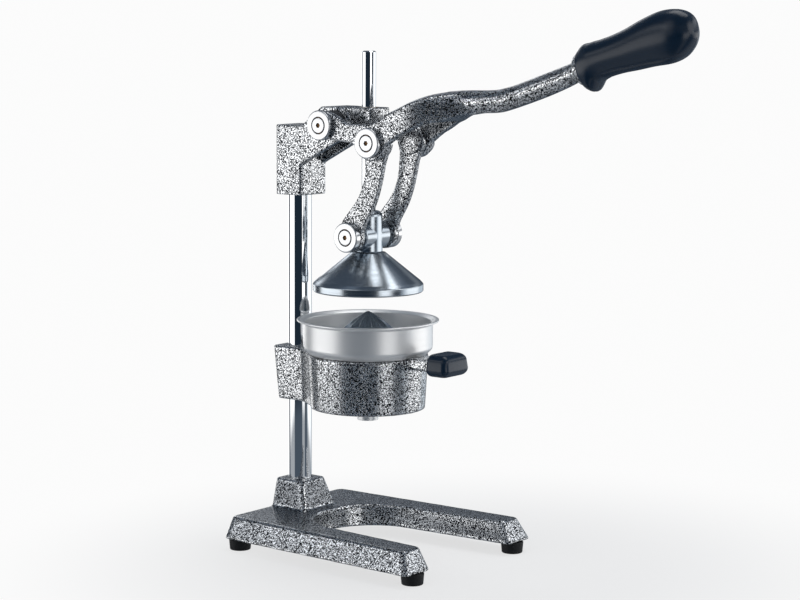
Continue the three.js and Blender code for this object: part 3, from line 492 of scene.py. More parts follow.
# Column and guide rod: bright bars with small chamfers
column = {"radius": 10, "bore": 4.1, "edges": (0.6, 0.6)}
guideRod = {"radius": 6, "lowEdge": 0.4, "chamfer": 1, "topEdge": 0.3}
piece = rod("column_bar", (column["radius"], *limitsOf("column")[2]), columnAxis, segments=128,
            edges=column["edges"], bore=column["bore"])
finishPiece(piece, "frame", "chrome_plate", "column")
low, top = limitsOf("guide_rod")[2]
radius, chamfer = guideRod["radius"], guideRod["chamfer"]
piece = lathe("guide_rod_bar", [
    (0, low), (radius, low, guideRod["lowEdge"]), (radius, top - chamfer),
    (radius - chamfer, top, guideRod["topEdge"]), (0, top)], bowlAxis)
finishPiece(piece, "press_head", "chrome_plate", "guide_rod")
print("bars done")

# Bowl holder: a drafted cup on a necked arm with a clamp round the column, and a stub for the side grip
holder = {"bottom": 123, "top": 169, "ring": 51, "ringStart": 38, "draft": 2.5, "half": 17, "rear": 18,
          "rearCorner": 5, "neck": 17, "neckCorner": 22, "skin": (0.85, 7),
          "spoutRoom": (15, 115, 130), "columnRoom": (10.1, 115, 180),
          "grubRoom": (3.1, -24, -9), "grubPlace": (0, 146)}
stub = {"rear": 119, "front": 160.5, "bottom": 161.5, "top": 171.6, "half": 11, "corner": 2}
cupRoom = [(0, 127), (45.5, 127, 2), (45.5, 168.2), (46.3, 169.4), (46.3, 190), (0, 190)]
bowlRoom = [(0, 169), (54, 169), (55.3, 172), (55.3, 190), (0, 190)]


def holderOutline(inset):
    radius = holder["ring"] - inset
    half = holder["half"] - inset / 2
    heel = -holder["rear"] + inset * 1.8
    rearCorner, neck, neckCorner = holder["rearCorner"], holder["neck"], holder["neckCorner"]
    start = holder["ringStart"]
    ring = []
    for i in range(121):
        angle = math.radians(start + (360 - 2 * start) * i / 120)
        ring.append((-radius * math.sin(angle), bowlAxis[1] - radius * math.cos(angle)))
    return rounded([(-half, heel, rearCorner), (-half, neck, neckCorner), *ring,
                    (half, neck, neckCorner), (half, heel, rearCorner)])


def stubBlock(name, size):
    rear, front, bottom, top, half, corner = size.values()
    outline = rounded([(rear, bottom), (front, bottom, corner), (front, top, corner), (rear, top)])
    return sidePlate(name, outline, -half, half)


piece = join("bowl_holder_skin", [
    uprightBlock("cup", [
        (holderOutline(holder["draft"]), holder["bottom"]), (holderOutline(0), holder["top"])]),
    stubBlock("stub", stub)])
castSkin(piece, holder["skin"])
cut(piece, [
    lathe("cupRoom", cupRoom, bowlAxis, segments=128), lathe("bowlRoom", bowlRoom, bowlAxis, segments=128),
    rod("spoutRoom", holder["spoutRoom"], bowlAxis), rod("columnRoom", holder["columnRoom"], columnAxis),
    rod("grubRoom", holder["grubRoom"], holder["grubPlace"], "Y")])
finishPiece(piece, "frame", "hammertone_paint", "bowl_holder", angle=castEdge)
print("holder done")

# Side grip: a moulded cap with wide soft edges, a little narrower at its top
grip = {"half": 17.3, "rear": 148.5, "front": 170.6, "bottom": 158.5, "top": 177, "edge": 6.2,
        "taper": 0.8, "rearCorner": 4.5, "frontCorner": 5.5}
stubRoom = {"rear": 140, "front": 160.8, "bottom": 161.2, "top": 172.3, "half": 11.3, "corner": 0}


def gripPlan(inset):
    return roundedBox(grip["half"] - inset, grip["rear"] + inset * 0.5, grip["front"] - inset,
                      grip["rearCorner"] - inset * 0.4, grip["frontCorner"] - inset * 0.4, 9)


turns = [math.pi / 2 * i / 8 for i in range(9)]
levels = []
for turn in turns:
    inset, rise = 1 - math.sin(turn), 1 - math.cos(turn)
    levels.append((gripPlan(grip["edge"] * inset), grip["bottom"] + grip["edge"] * rise))
for turn in turns:
    inset, fall = 1 - math.cos(turn), 1 - math.sin(turn)
    levels.append((gripPlan(grip["taper"] + grip["edge"] * inset), grip["top"] - grip["edge"] * fall))
piece = uprightBlock("side_grip_cap", levels)
cut(piece, [stubBlock("stubRoom", stubRoom)])
finishPiece(piece, "frame", "black_plastic", "side_grip")

# Head casting: a block on the column, two cheeks, a bridge and a square boss for the guide rod
head = {"half": 16.8, "bottom": 300, "blockTop": 359.5, "rear": 14.2, "front": 15.8, "rearCorner": 4,
        "frontCorner": 3, "cheek": 6, "cheekBottom": 327, "cheekRadius": 13.5, "cheekStart": -62.4,
        "cheekTop": 375.2, "top": 376.3, "roof": 5, "rampEnd": 38, "webHalf": 6, "webRear": 9.8,
        "webMiddle": 352.7, "webLow": 352, "webHigh": 374.5, "plate": 3.5, "plateRear": 51, "plateFront": 76,
        "boss": 12.9, "bossBottom": 350, "bossCorner": 2.5, "skin": (0.62, 7),
        "columnRoom": (10.1, 290, 350), "bushRoom": (8.1, 340, 385), "pinRoom": (5.1, -20, 20),
        "grubRoom": (3.1, -20, -9), "grubPlace": (0, 322)}
half, front, rampEnd, boss = head["half"], head["front"], head["rampEnd"], head["boss"]
blockTop, headTop, ridge, rodForward = head["blockTop"], head["top"], mainPivot[0], bowlAxis[1]
blockRoof, roofLow, plateLow = blockTop - head["roof"], headTop - head["roof"], headTop - head["plate"]
blockOutline = roundedBox(half, -head["rear"], front, head["rearCorner"], head["frontCorner"])
cheekOutline = [
    (0, head["cheekBottom"]), (front, head["cheekBottom"]),
    *arc(mainPivot, head["cheekRadius"], head["cheekStart"], 90, 30),
    (rampEnd, head["cheekTop"]), (front, blockTop), (0, blockTop)]
roofOutline = [
    (0, blockRoof), (front, blockRoof), (rampEnd, roofLow), (ridge, roofLow), (ridge, headTop),
    (rampEnd, headTop), (front, blockTop), (0, blockTop)]
webOutline = [
    (head["webRear"], blockRoof), (ridge, head["webMiddle"]), (rodForward, head["webLow"]),
    (rodForward, head["webHigh"]), (rampEnd, plateLow)]
plateOutline = roundedBox(boss, head["plateRear"], head["plateFront"], 0, 0)
bossOutline = roundedBox(boss, rodForward - boss, rodForward + boss, head["bossCorner"], head["bossCorner"])
parts = [
    uprightBlock("block", [(blockOutline, head["bottom"]), (blockOutline, blockTop)]),
    sidePlate("roof", roofOutline, -half, half),
    sidePlate("web", webOutline, -head["webHalf"], head["webHalf"]),
    uprightBlock("plate", [(plateOutline, plateLow), (plateOutline, headTop)]),
    uprightBlock("guide", [(bossOutline, head["bossBottom"]), (bossOutline, headTop)])]
for side in sides.values():
    parts.append(sidePlate("cheek", cheekOutline, side * (half - head["cheek"]), side * half))
piece = castSkin(join("head_casting_skin", parts), head["skin"])
cut(piece, [
    rod("columnRoom", head["columnRoom"], columnAxis), rod("bushRoom", head["bushRoom"], bowlAxis),
    rod("pinRoom", head["pinRoom"], mainPivot, "X"),
    rod("grubRoom", head["grubRoom"], head["grubPlace"], "Y")])
finishPiece(piece, "frame", "hammertone_paint", "head_casting", angle=castEdge)
print("head done")

# Bush in the guide boss
bush = {"radius": 8, "edges": (0.2, 0.2), "bore": 6.3, "mouths": (0.3, 0.4)}
piece = rod("guide_bush_ring", (bush["radius"], *limitsOf("guide_bush")[2]), bowlAxis, segments=96,
            edges=bush["edges"], bore=bush["bore"], mouths=bush["mouths"])
finishPiece(piece, "frame", "bronze", "guide_bush")


# Faces at a level across, and within a radius of the pivot, take the painted shade of a hollow
def shadeHollow(solid, pivot, level, radius):
    solid.data.materials.append(paintedHollowShade)
    corners = solid.data.vertices
    for face in solid.data.polygons:
        spots = [corners[i].co / metre for i in face.vertices]
        away = max(math.hypot(columnY / metre - p.y - pivot[0], p.z - pivot[1]) for p in spots)
        across = [abs(p.x) for p in spots]
        if away < radius and level - 2 < max(across) and min(across) < level:
            face.material_index = 1


# Pivot caps, each with a screw that has a hex socket: (pivot, inner face, outer face, body)
caps = {"main": (mainPivot, 34.1, 38.8, "frame"), "upper": (upperPivot, 34.1, 38.8, "lever"),
        "lower": (lowerPivot, 25.3, 30.9, "press_head")}
cap = {"radius": 12.5, "innerEdge": 0.5, "outerEdge": 1.1, "hollow": 7.1, "depth": 1.5, "bore": 2.1,
       "paintedShadeReach": 8}
capScrew = {"shank": 2, "length": 8, "head": 6.4, "seat": 1.4, "rise": 0.2, "edge": 0.5,
            "socket": 2.3, "socketDepth": 0.9, "paintedShadeReach": 2.4}
radius, innerEdge, outerEdge, hollow, depth, bore, capReach = cap.values()
shank, screwLength, screwHead, seatDepth, rise, edge, socket, socketDepth, socketReach = capScrew.values()
for pivotName, (pivot, inner, outer, body) in caps.items():
    seat, crown, tip = outer - seatDepth, outer + rise, inner - screwLength
    capProfile = [
        (bore, inner), (radius, inner, innerEdge), (radius, outer, outerEdge), (hollow, outer, 0.35),
        (hollow, outer - depth), (bore, outer - depth)]
    screwProfile = [
        (0, tip), (shank, tip), (shank, seat), (screwHead, seat, 0.1), (screwHead, crown, edge), (0, crown)]
    for sideName, side in sides.items():
        piece = lathe(f"{pivotName}_{sideName}_cap_disc", capProfile, pivot, "X", side, 128)
        finishPiece(piece, body, "bright_steel", f"{pivotName}_{sideName}_cap")
        # Painted shade in the cap's hollow round the screw head
        shadeHollow(piece, pivot, seat, capReach)
        piece = lathe(f"{pivotName}_{sideName}_cap_screw", screwProfile, pivot, "X", side, 96)
        cut(piece, [rod("socket", (socket, outer - socketDepth, outer + 1), pivot, "X", side, 6)])
        finishPiece(piece, body, "bright_steel", f"{pivotName}_{sideName}_screw")
        # Painted shade in the screw's hex socket
        shadeHollow(piece, pivot, outer - rise, socketReach)

# Spacers between the cheeks and the lever, and round pads with a stud on the links
spacer = {"size": (12, 17.1, 25), "edges": (0.4, 0.4), "bore": 5.3}
linkPad = {"radius": 11.7, "edge": 0.6, "stud": 4.5, "inner": 17.7, "seat": 19.7, "outer": 25}
radius, edge, stud, inner, seat, outer = linkPad.values()
padProfile = [(0, inner), (radius, inner, edge), (radius, seat), (stud, seat), (stud, outer), (0, outer)]
for sideName, side in sides.items():
    piece = rod(f"main_spacer_{sideName}_ring", spacer["size"], mainPivot, "X", side, 96,
                edges=spacer["edges"], bore=spacer["bore"])
    finishPiece(piece, "frame", "black_nylon", f"main_spacer_{sideName}")
    piece = lathe(f"link_pad_{sideName}", padProfile, upperPivot, "X", side)
    finishPiece(piece, "links", "hammertone_paint", f"link_stud_{sideName}")
print("caps done")


# Smooth stations between given ones, by a curve through them
def between(stations, share):
    place = share * (len(stations) - 1)
    i = min(int(place), len(stations) - 2)
    t = place - i
    before, after = stations[max(i - 1, 0)], stations[min(i + 2, len(stations) - 1)]
    return [0.5 * (2 * b + (c - a) * t + (2 * a - 5 * b + 4 * c - d) * t * t
                   + (3 * b - a - 3 * c + d) * t ** 3)
            for a, b, c, d in zip(before, stations[i], stations[i + 1], after)]


def spread(stations, steps):
    return [between(stations, i / steps) for i in range(steps + 1)]


def swell(value, power):
    return math.copysign(abs(value) ** (2 / power), value)


# An oval section at a station of (forward, up, half height, half width), square to a (forward, up) direction
def ovalRing(station, direction, power=2.0, count=72, groove=0.0):
    forward, up, halfHeight, halfWidth = station
    along = Vector(direction).normalized()
    ring = []
    for k in range(count):
        angle = 2 * math.pi * k / count
        shrink = 1 - groove * math.exp(-(math.cos(angle) / 0.035) ** 2)   # a fine parting line
        across = halfWidth * swell(math.cos(angle), power) * shrink
        lift = halfHeight * swell(math.sin(angle), power) * shrink
        ring.append((across, forward - along.y * lift, up + along.x * lift))
    return ring


# Lever casting: two legs, an arched web, a bar, a flange and the tang inside the grip
lever = {"inner": 25.3, "outer": 33.8, "flange": (287.7, 411.95), "angle": 15.93, "skin": (0.74, 6),
         "mainBoss": 12, "upperBoss": 14.8, "mainBore": (5.3, 20, 40), "upperBore": (4.6, 20, 40),
         "notch": (87.1, 347.7, 8), "legEnd": [(120, 348.4), (120, 371.3)],
         "legBack": [(111.3, 367.6, 6), (103.9, 363.8, 14), (79, 363.7, 14)]}
# The web and the opening below it as (forward, half width, lower edge, shoulder, crown)
forkStations = [
    (119, 33.8, 347.4, 371.3, 375.8), (130, 32.6, 354.9, 376.1, 380.6), (140, 31.2, 359.9, 380.6, 385.6),
    (150, 28.4, 365, 383.4, 389.4), (160, 22, 367.6, 383.5, 391.3), (170, 15.6, 371, 383.1, 391.9),
    (180, 10.6, 374, 382.4, 391.7), (190, 7.5, 376.5, 382.8, 391), (200, 4.5, 379, 383, 390)]
openStations = [
    (116, 25.3, 330, 366.8, 371.3), (119, 25.3, 330, 366.8, 371.3), (130, 25.1, 330, 371.6, 376.1),
    (140, 23.7, 330, 376.1, 381.1), (150, 20.3, 330, 378.9, 384.9), (157, 12.2, 330, 375.4, 382.4)]
# The bar as (forward, up, half height, half width)
armStations = [
    (160, 381.8, 9.8, 10), (172, 382.6, 10.1, 11), (184, 383.4, 9.9, 10), (195, 384.3, 9.2, 9),
    (206, 384.9, 9.2, 8.6), (214, 386.2, 9.2, 8.5), (228, 390, 8.9, 8.2), (250.5, 397.6, 9, 8),
    (270, 404.7, 8.6, 7.8), (*lever["flange"], 7.8, 7.6)]
# The flange and the tang as (distance along the grip, radius)
flangeStations = [(-2.6, 7), (-2.4, 10.4), (-1.9, 11.7), (-1.1, 12.4), (2, 12.4), (2, 6), (76, 6)]


def arch(half, low, shoulder, crown):
    turns = [math.pi * i / 36 for i in range(37)]
    bend = [(half * math.cos(turn), shoulder + (crown - shoulder) * math.sin(turn)) for turn in turns]
    return [(half, low), *bend, (-half, low)]


def forkRing(station):
    return [(w, station[0], z) for w, z in arch(*station[1:])]


tilt = math.radians(lever["angle"])
gripWay = (math.cos(tilt), math.sin(tilt))


# A point along the grip's axis and above it, as (forward, up)
def onGrip(along, lift=0.0):
    return (lever["flange"][0] + gripWay[0] * along - gripWay[1] * lift,
            lever["flange"][1] + gripWay[1] * along + gripWay[0] * lift)


def gripRing(along, radius):
    return ovalRing((*onGrip(along), radius, radius), gripWay, 2, 64)


legOutline = rounded([
    *arc(mainPivot, lever["mainBoss"], 70, 290, 40), lever["notch"],
    *arc(upperPivot, lever["upperBoss"], 216, 324, 30), *lever["legEnd"], *lever["legBack"]])
armRings = []
for i in range(61):
    ahead = between(armStations, min(i / 60 + 0.01, 1))
    behind = between(armStations, max(i / 60 - 0.01, 0))
    armRings.append(ovalRing(between(armStations, i / 60), (ahead[0] - behind[0], ahead[1] - behind[1])))
fork = loft("fork", [forkRing(station) for station in spread(forkStations, 64)])
cut(fork, [loft("opening", [forkRing(station) for station in spread(openStations, 40)])])
parts = [fork, loft("bar", armRings)]
for side in sides.values():
    parts.append(sidePlate("leg", legOutline, side * lever["inner"], side * lever["outer"]))
piece = castSkin(join("lever_casting_skin", parts), lever["skin"])
cut(piece, [rod(bore, lever[bore], pivot, "X", side) for side in sides.values()
            for bore, pivot in (("mainBore", mainPivot), ("upperBore", upperPivot))])
cut(piece, [loft("flange", [gripRing(along, radius) for along, radius in flangeStations])], "UNION")
finishPiece(piece, "lever", "hammertone_paint", "lever_arm", angle=castEdge)
print("lever done")

# Lever grip: a moulded handle with a finger guard below and a parting line along its sides
# Its stations are (distance along, top, bottom, half width)
leverGrip = {"squareness": 2.3, "groove": 0.012, "room": 6.15, "roomLength": 76.3}
gripStations = [
    (2.1, 13.1, -13.1, 12.6), (2.8, 14.2, -15.2, 13.6), (4.7, 15.6, -17.9, 14.4), (8.8, 18.1, -19.5, 15.4),
    (14, 17.8, -14.2, 16), (19.1, 17.8, -12.5, 16), (24.2, 17.6, -11.9, 16), (35.4, 18, -12.1, 16),
    (48.4, 19.5, -13.3, 16.3), (63.3, 22.4, -14.4, 16.8), (79.1, 24.2, -16.1, 17.2), (90.3, 23, -14.6, 16.4),
    (98.2, 20, -10, 13.6), (103.3, 15.8, -4.7, 8.8), (105.4, 11.4, -0.6, 4.6), (106, 7.4, 3.2, 1.6)]
rings = []
for along, top, bottom, half in spread(gripStations, 140):
    station = (*onGrip(along, (top + bottom) / 2), (top - bottom) / 2, half)
    rings.append(ovalRing(station, gripWay, leverGrip["squareness"], 144, leverGrip["groove"]))
piece = cut(loft("lever_grip_moulding", rings), [
    loft("tangRoom", [gripRing(along, leverGrip["room"]) for along in (0, leverGrip["roomLength"])])])
finishPiece(piece, "lever", "black_plastic", "lever_grip", angle=45)

# Links: bowed flat castings with rounded edges
# Eyes are (radius, start, end), in degrees from the bow; edges are (share of length, front, back) in bows
link = {"inner": 20, "outer": 25, "edge": 0.9, "bow": 17,
        "upperEye": (13.8, 226, -26), "lowerEye": (12.7, 33, -202),
        "upperBore": (4.58, 15, 30), "lowerBore": (4.3, 15, 30)}
linkEdges = [
    (0.17, 0.73, -0.41), (0.26, 0.79, -0.29), (0.34, 0.835, -0.18), (0.44, 0.865, -0.11),
    (0.54, 0.865, -0.135), (0.63, 0.82, -0.22), (0.72, 0.73, -0.38), (0.8, 0.65, -0.54), (0.88, 0.62, -0.69)]
linkChord = Vector((lowerPivot[0] - upperPivot[0], lowerPivot[1] - upperPivot[1]))
bow = Vector((-linkChord.y, linkChord.x)).normalized()
bowAngle = math.degrees(math.atan2(bow.y, bow.x))


def linkEye(pivot, eye):
    radius, start, end = eye
    return arc(pivot, radius, bowAngle + start, bowAngle + end, 48)


frontEdge, backEdge = [], []
for share, ahead, behind in spread(linkEdges, 40):
    middle = Vector(upperPivot) + linkChord * share
    frontEdge.append(tuple(middle + bow * link["bow"] * ahead))
    backEdge.insert(0, tuple(middle + bow * link["bow"] * behind))
linkOutline = (linkEye(upperPivot, link["upperEye"]) + frontEdge
               + linkEye(lowerPivot, link["lowerEye"]) + backEdge)
for sideName, side in sides.items():
    piece = sidePlate(f"link_{sideName}_bar", linkOutline, side * link["inner"], side * link["outer"])
    bevelEdges(piece, link["edge"], 3, 60)
    cut(piece, [rod("upperBore", link["upperBore"], upperPivot, "X", side),
                rod("lowerBore", link["lowerBore"], lowerPivot, "X", side)])
    finishPiece(piece, "links", "hammertone_paint", f"link_{sideName}", angle=40)
print("links done")

# Crosshead: a polished boss with a cross arm
crosshead = {"sleeve": (12, 255.3, 290), "sleeveEdges": (0.6, 4.5), "barrel": (11.7, -16, 16),
             "barrelEdges": (1.2, 1.2), "arm": (9, -19.6, 19.6), "skin": (0.42, 5),
             "rodSeat": (6.1, 277, 300), "screwSeat": (4.1, 250, 262.3), "pinBore": (4.1, -30, 30)}
piece = join("crosshead_boss", [
    rod("sleeve", crosshead["sleeve"], bowlAxis, segments=128, edges=crosshead["sleeveEdges"]),
    rod("barrel", crosshead["barrel"], lowerPivot, "X", segments=96, edges=crosshead["barrelEdges"]),
    rod("arm", crosshead["arm"], lowerPivot, "X", segments=96)])
castSkin(piece, crosshead["skin"])
cut(piece, [
    rod("rodSeat", crosshead["rodSeat"], bowlAxis), rod("screwSeat", crosshead["screwSeat"], bowlAxis),
    rod("pinBore", crosshead["pinBore"], lowerPivot, "X")])
finishPiece(piece, "press_head", "cast_aluminium", "crosshead", angle=castEdge)

# Pressing cone: a polished casting, hollow below
cone = {"bore": 4.1, "top": 255, "bottom": 222, "shoulder": 14.5, "rim": 46.6, "rimHeight": 6.4, "wall": 5}
bore, top, bottom, shoulder, rim, rimHeight, wall = cone.values()
coneProfile = [
    (bore, top - wall), (shoulder - 2.5, top - wall, 1), (rim - 6.4, bottom + 5, 2), (rim - 4, bottom, 0.5),
    (rim - 1, bottom, 0.8), (rim, bottom + 1, 0.6), (rim, bottom + rimHeight, 1.6),
    (rim - 2.4, bottom + rimHeight + 2.6, 1.2), (shoulder, top, 0.6), (bore, top)]
piece = lathe("press_cone_casting", coneProfile, bowlAxis, segments=160)
finishPiece(piece, "press_head", "cast_aluminium", "press_cone")
print("cone done")

# Bowl: spun stainless with a rolled lip, a sump and a spout
bowl = {"radius": 54.8, "wall": 1.5, "bottom": 169.3, "bevel": 5, "rim": 60, "top": 198.5,
        "sump": 44.5, "sumpBend": 150, "sumpBottom": 138, "spout": 9, "spoutBottom": 112.5}
radius, wall, bottom, bevel, rim, top, sump, bend, low, spout, spoutEnd = bowl.values()
shellProfile = [
    (sump - wall, bottom), (radius - bevel, bottom, 0.6), (radius, bottom + bevel, 4.5),
    (radius, top - 3.1, 0.8), (rim - 1.6, top - 1.9, 1), (rim, top - 1.3, 0.5), (rim - 0.1, top, 0.5),
    (rim - 3, top - 0.2, 1.5), (radius - wall, top - 2.1, 1.5), (radius - wall, bottom + bevel + 0.6, 3.4),
    (radius - bevel - 0.4, bottom + wall, 0.6), (sump - wall, bottom + wall)]
sumpProfile = [
    (spout - wall, low), (spout, low), (sump, bend, 3), (sump, bottom), (sump - wall, bottom),
    (sump - wall, bend + wall, 2), (spout - wall, low + wall)]
piece = lathe("bowl_shell", shellProfile, bowlAxis, segments=192, steps=7)
finishPiece(piece, "bowl", "stainless_steel", "bowl")
piece = lathe("bowl_sump_cup", sumpProfile, bowlAxis, segments=128)
finishPiece(piece, "bowl", "stainless_steel", "bowl_sump")
piece = rod("bowl_spout_tube", (spout, spoutEnd, low), bowlAxis, segments=96,
            edges=(0.4, 0), bore=spout - wall)
finishPiece(piece, "bowl", "stainless_steel", "bowl_spout")
print("bowl done")


# A geometry tree with one geometry input, named number inputs and a finish
def newTree(name, numbers):
    tree = bpy.data.node_groups.new(name, "GeometryNodeTree")
    tree.interface.new_socket("Geometry", in_out="INPUT", socket_type="NodeSocketGeometry")
    for label, value in numbers.items():
        kind = "NodeSocketInt" if isinstance(value, int) else "NodeSocketFloat"
        tree.interface.new_socket(label, in_out="INPUT", socket_type=kind)
    tree.interface.new_socket("Finish", in_out="INPUT", socket_type="NodeSocketMaterial")
    tree.interface.new_socket("Geometry", in_out="OUTPUT", socket_type="NodeSocketGeometry")
    return tree, addNode(tree, "NodeGroupInput").outputs


def endTree(tree, geometry, finish):
    real = addNode(tree, "GeometryNodeRealizeInstances", {"Geometry": geometry})
    finished = addNode(tree, "GeometryNodeSetMaterial", {
        "Geometry": real.outputs["Geometry"], "Material": finish})
    addNode(tree, "NodeGroupOutput", {"Geometry": finished.outputs["Geometry"]})


def growTree(solid, tree, numbers, finish):
    modifier = solid.modifiers.new(tree.name, "NODES")
    modifier.node_group = tree
    values = dict(numbers, Finish=finish)
    for item in tree.interface.items_tree:
        if item.in_out == "INPUT" and item.name in values:
            modifier[item.identifier] = values[item.name]
    return bakeModifiers(solid)


def scaled(tree, vector, scale):
    node = addNode(tree, "ShaderNodeVectorMath", {0: vector, "Scale": scale}, operation="SCALE")
    return node.outputs["Vector"]


# Strainer: a dished plate with a ring of slots round the reamer (the tree's numbers are in metres)
strainer = {"Slots": 24, "Slot start": 0.035, "Slot length": 0.007, "Slot width": 0.0026, "Slot depth": 0.02,
            "Axis Y": columnY - bowlAxis[1] * metre, "Plate height": 0.1718}
plate = {"radius": 52, "flat": 48, "bottom": 171.1, "bend": 176.5, "top": 178.5, "wall": 1.4}
radius, flat, bottom, bend, top, wall = plate.values()
strainerProfile = [
    (0, bottom), (flat, bottom, 2), (radius, bend, 3), (radius, top, 0.3), (radius - wall, top, 0.3),
    (radius - wall, bend + 0.3, 2), (flat - 0.6, bottom + wall, 1), (0, bottom + wall)]
tree, given = newTree("strainerSlots", strainer)
ring = addNode(tree, "GeometryNodeMeshCircle", {"Vertices": given["Slots"], "Radius": 1.0})
outward = addNode(tree, "GeometryNodeInputPosition").outputs["Position"]
outwardTurn = addNode(tree, "FunctionNodeAlignRotationToVector", {"Vector": outward}, axis="X")
reach = addMath(tree, "ADD", given["Slot start"], addMath(tree, "MULTIPLY", given["Slot length"], 0.5))
slotSize = addNode(tree, "ShaderNodeCombineXYZ", {
    "X": given["Slot length"], "Y": given["Slot width"], "Z": given["Slot depth"]})
slotBox = addNode(tree, "GeometryNodeMeshCube", {"Size": slotSize.outputs["Vector"]})
circle = addNode(tree, "GeometryNodeSetPosition", {
    "Geometry": ring.outputs["Mesh"], "Position": scaled(tree, outward, reach)})
slots = addNode(tree, "GeometryNodeInstanceOnPoints", {
    "Points": circle.outputs["Geometry"], "Instance": slotBox.outputs["Mesh"],
    "Rotation": outwardTurn.outputs["Rotation"]})
realSlots = addNode(tree, "GeometryNodeRealizeInstances", {"Geometry": slots.outputs["Instances"]})
centre = addNode(tree, "ShaderNodeCombineXYZ", {"Y": given["Axis Y"], "Z": given["Plate height"]})
placed = addNode(tree, "GeometryNodeTransform", {
    "Geometry": realSlots.outputs["Geometry"], "Translation": centre.outputs["Vector"]})
slotted = addNode(tree, "GeometryNodeMeshBoolean", {
    "Mesh 1": given["Geometry"], "Mesh 2": placed.outputs["Geometry"]}, operation="DIFFERENCE")
endTree(tree, slotted.outputs["Mesh"], given["Finish"])
piece = lathe("strainer_plate", strainerProfile, bowlAxis, segments=144)
growTree(piece, tree, strainer, finishes["stainless_steel"])
finishPiece(piece, "bowl", "stainless_steel", "strainer")

# Reamer: a dome on a foot whose radius sinks between its ribs
reamer = {"Ribs": 12, "Sink": 0.2, "Axis Y": strainer["Axis Y"], "Foot top": 0.1757, "Tip": 0.2048}
dome = {"radius": 31, "tip": 1.2, "fullness": 1.6, "foot": 34, "bottom": 172.8, "footTop": 175.8, "rise": 29}
tree, given = newTree("reamerRibs", reamer)
place = addNode(tree, "GeometryNodeInputPosition").outputs["Position"]
spot = addNode(tree, "ShaderNodeSeparateXYZ", {"Vector": place}).outputs
ahead = addMath(tree, "SUBTRACT", spot["Y"], given["Axis Y"])
turn = addMath(tree, "MULTIPLY", addMath(tree, "ARCTAN2", ahead, spot["X"]), given["Ribs"])
sunk = addRange(tree, addMath(tree, "COSINE", turn), -1.0, 1.0, 0.0, given["Sink"])
onset = addRange(tree, spot["Z"], given["Foot top"], given["Tip"], 0.0, 5.0)   # full depth from a fifth up
depth = addMath(tree, "MINIMUM", addMath(tree, "MULTIPLY", sunk, onset), sunk)
outward = addNode(tree, "ShaderNodeCombineXYZ", {"X": spot["X"], "Y": ahead}).outputs["Vector"]
shift = scaled(tree, outward, addMath(tree, "MULTIPLY", depth, -1.0))
ribbed = addNode(tree, "GeometryNodeSetPosition", {"Geometry": given["Geometry"], "Offset": shift})
endTree(tree, ribbed.outputs["Geometry"], given["Finish"])
radius, tip, fullness, footRadius, bottom, footTop, rise = dome.values()
shares = [i / 30 for i in range(31)]
reamerProfile = [
    (0, bottom), (footRadius, bottom, 0.5), (footRadius, footTop, 0.8),
    *[(radius * (1 - share ** fullness) + tip * share, footTop + rise * share) for share in shares],
    (0, footTop + rise + 0.2)]
piece = lathe("reamer_moulding", reamerProfile, bowlAxis, segments=192)
growTree(piece, tree, reamer, finishes["cast_aluminium"])
finishPiece(piece, "bowl", "cast_aluminium", "reamer", angle=castEdge)
print("strainer and reamer done")

# Hidden and plain pieces keep their CAD mesh and take a finish
plainPieces = [
    "column_bolt", "column_washer", "holder_grub", "head_grub", "main_pin", "lower_pin", "cone_screw",
    "cone_washer", "upper_stud_left", "upper_stud_right", *[f"foot_screw_{corner}" for corner in corners]]
for name in plainPieces:
    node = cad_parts[name]
    node.data.materials.clear()
    node.data.materials.append(finishes["bright_steel"])

# Floor: a pale matt disc that fades to the plain white of the backdrop
studio = {"backdrop": (0.97, 0.97, 0.97, 1), "floor": (0.96, 0.96, 0.96, 1), "radius": 0.5, "drop": 0.0002,
          "fadeStart": 0.1, "fadeEnd": 0.44, "fadeLow": 0.7, "strength": 1.8}
material, tree = newMaterial("paleFloor")
away = addNode(tree, "ShaderNodeVectorMath", {0: objectPoint(tree)}, operation="LENGTH").outputs["Value"]
fade = addRange(tree, away, studio["fadeStart"], studio["fadeEnd"], studio["fadeLow"],
                interpolation_type="SMOOTHSTEP")
cameraRay = addNode(tree, "ShaderNodeLightPath").outputs["Is Camera Ray"]
paint = addNode(tree, "ShaderNodeBsdfDiffuse", {"Color": studio["floor"]})
glow = addNode(tree, "ShaderNodeEmission", {"Color": studio["backdrop"]})
blend = addNode(tree, "ShaderNodeMixShader", {
    0: addMath(tree, "MULTIPLY", fade, cameraRay), 1: paint.outputs["BSDF"], 2: glow.outputs["Emission"]})
addNode(tree, "ShaderNodeOutputMaterial", {"Surface": blend.outputs["Shader"]})
bpy.ops.mesh.primitive_circle_add(
    vertices=96, radius=studio["radius"], fill_type="NGON", location=(0, 0, -studio["drop"]))
floor = bpy.context.object
floor.name = "studio_floor"
floor.data.materials.append(material)
floor.visible_glossy = False

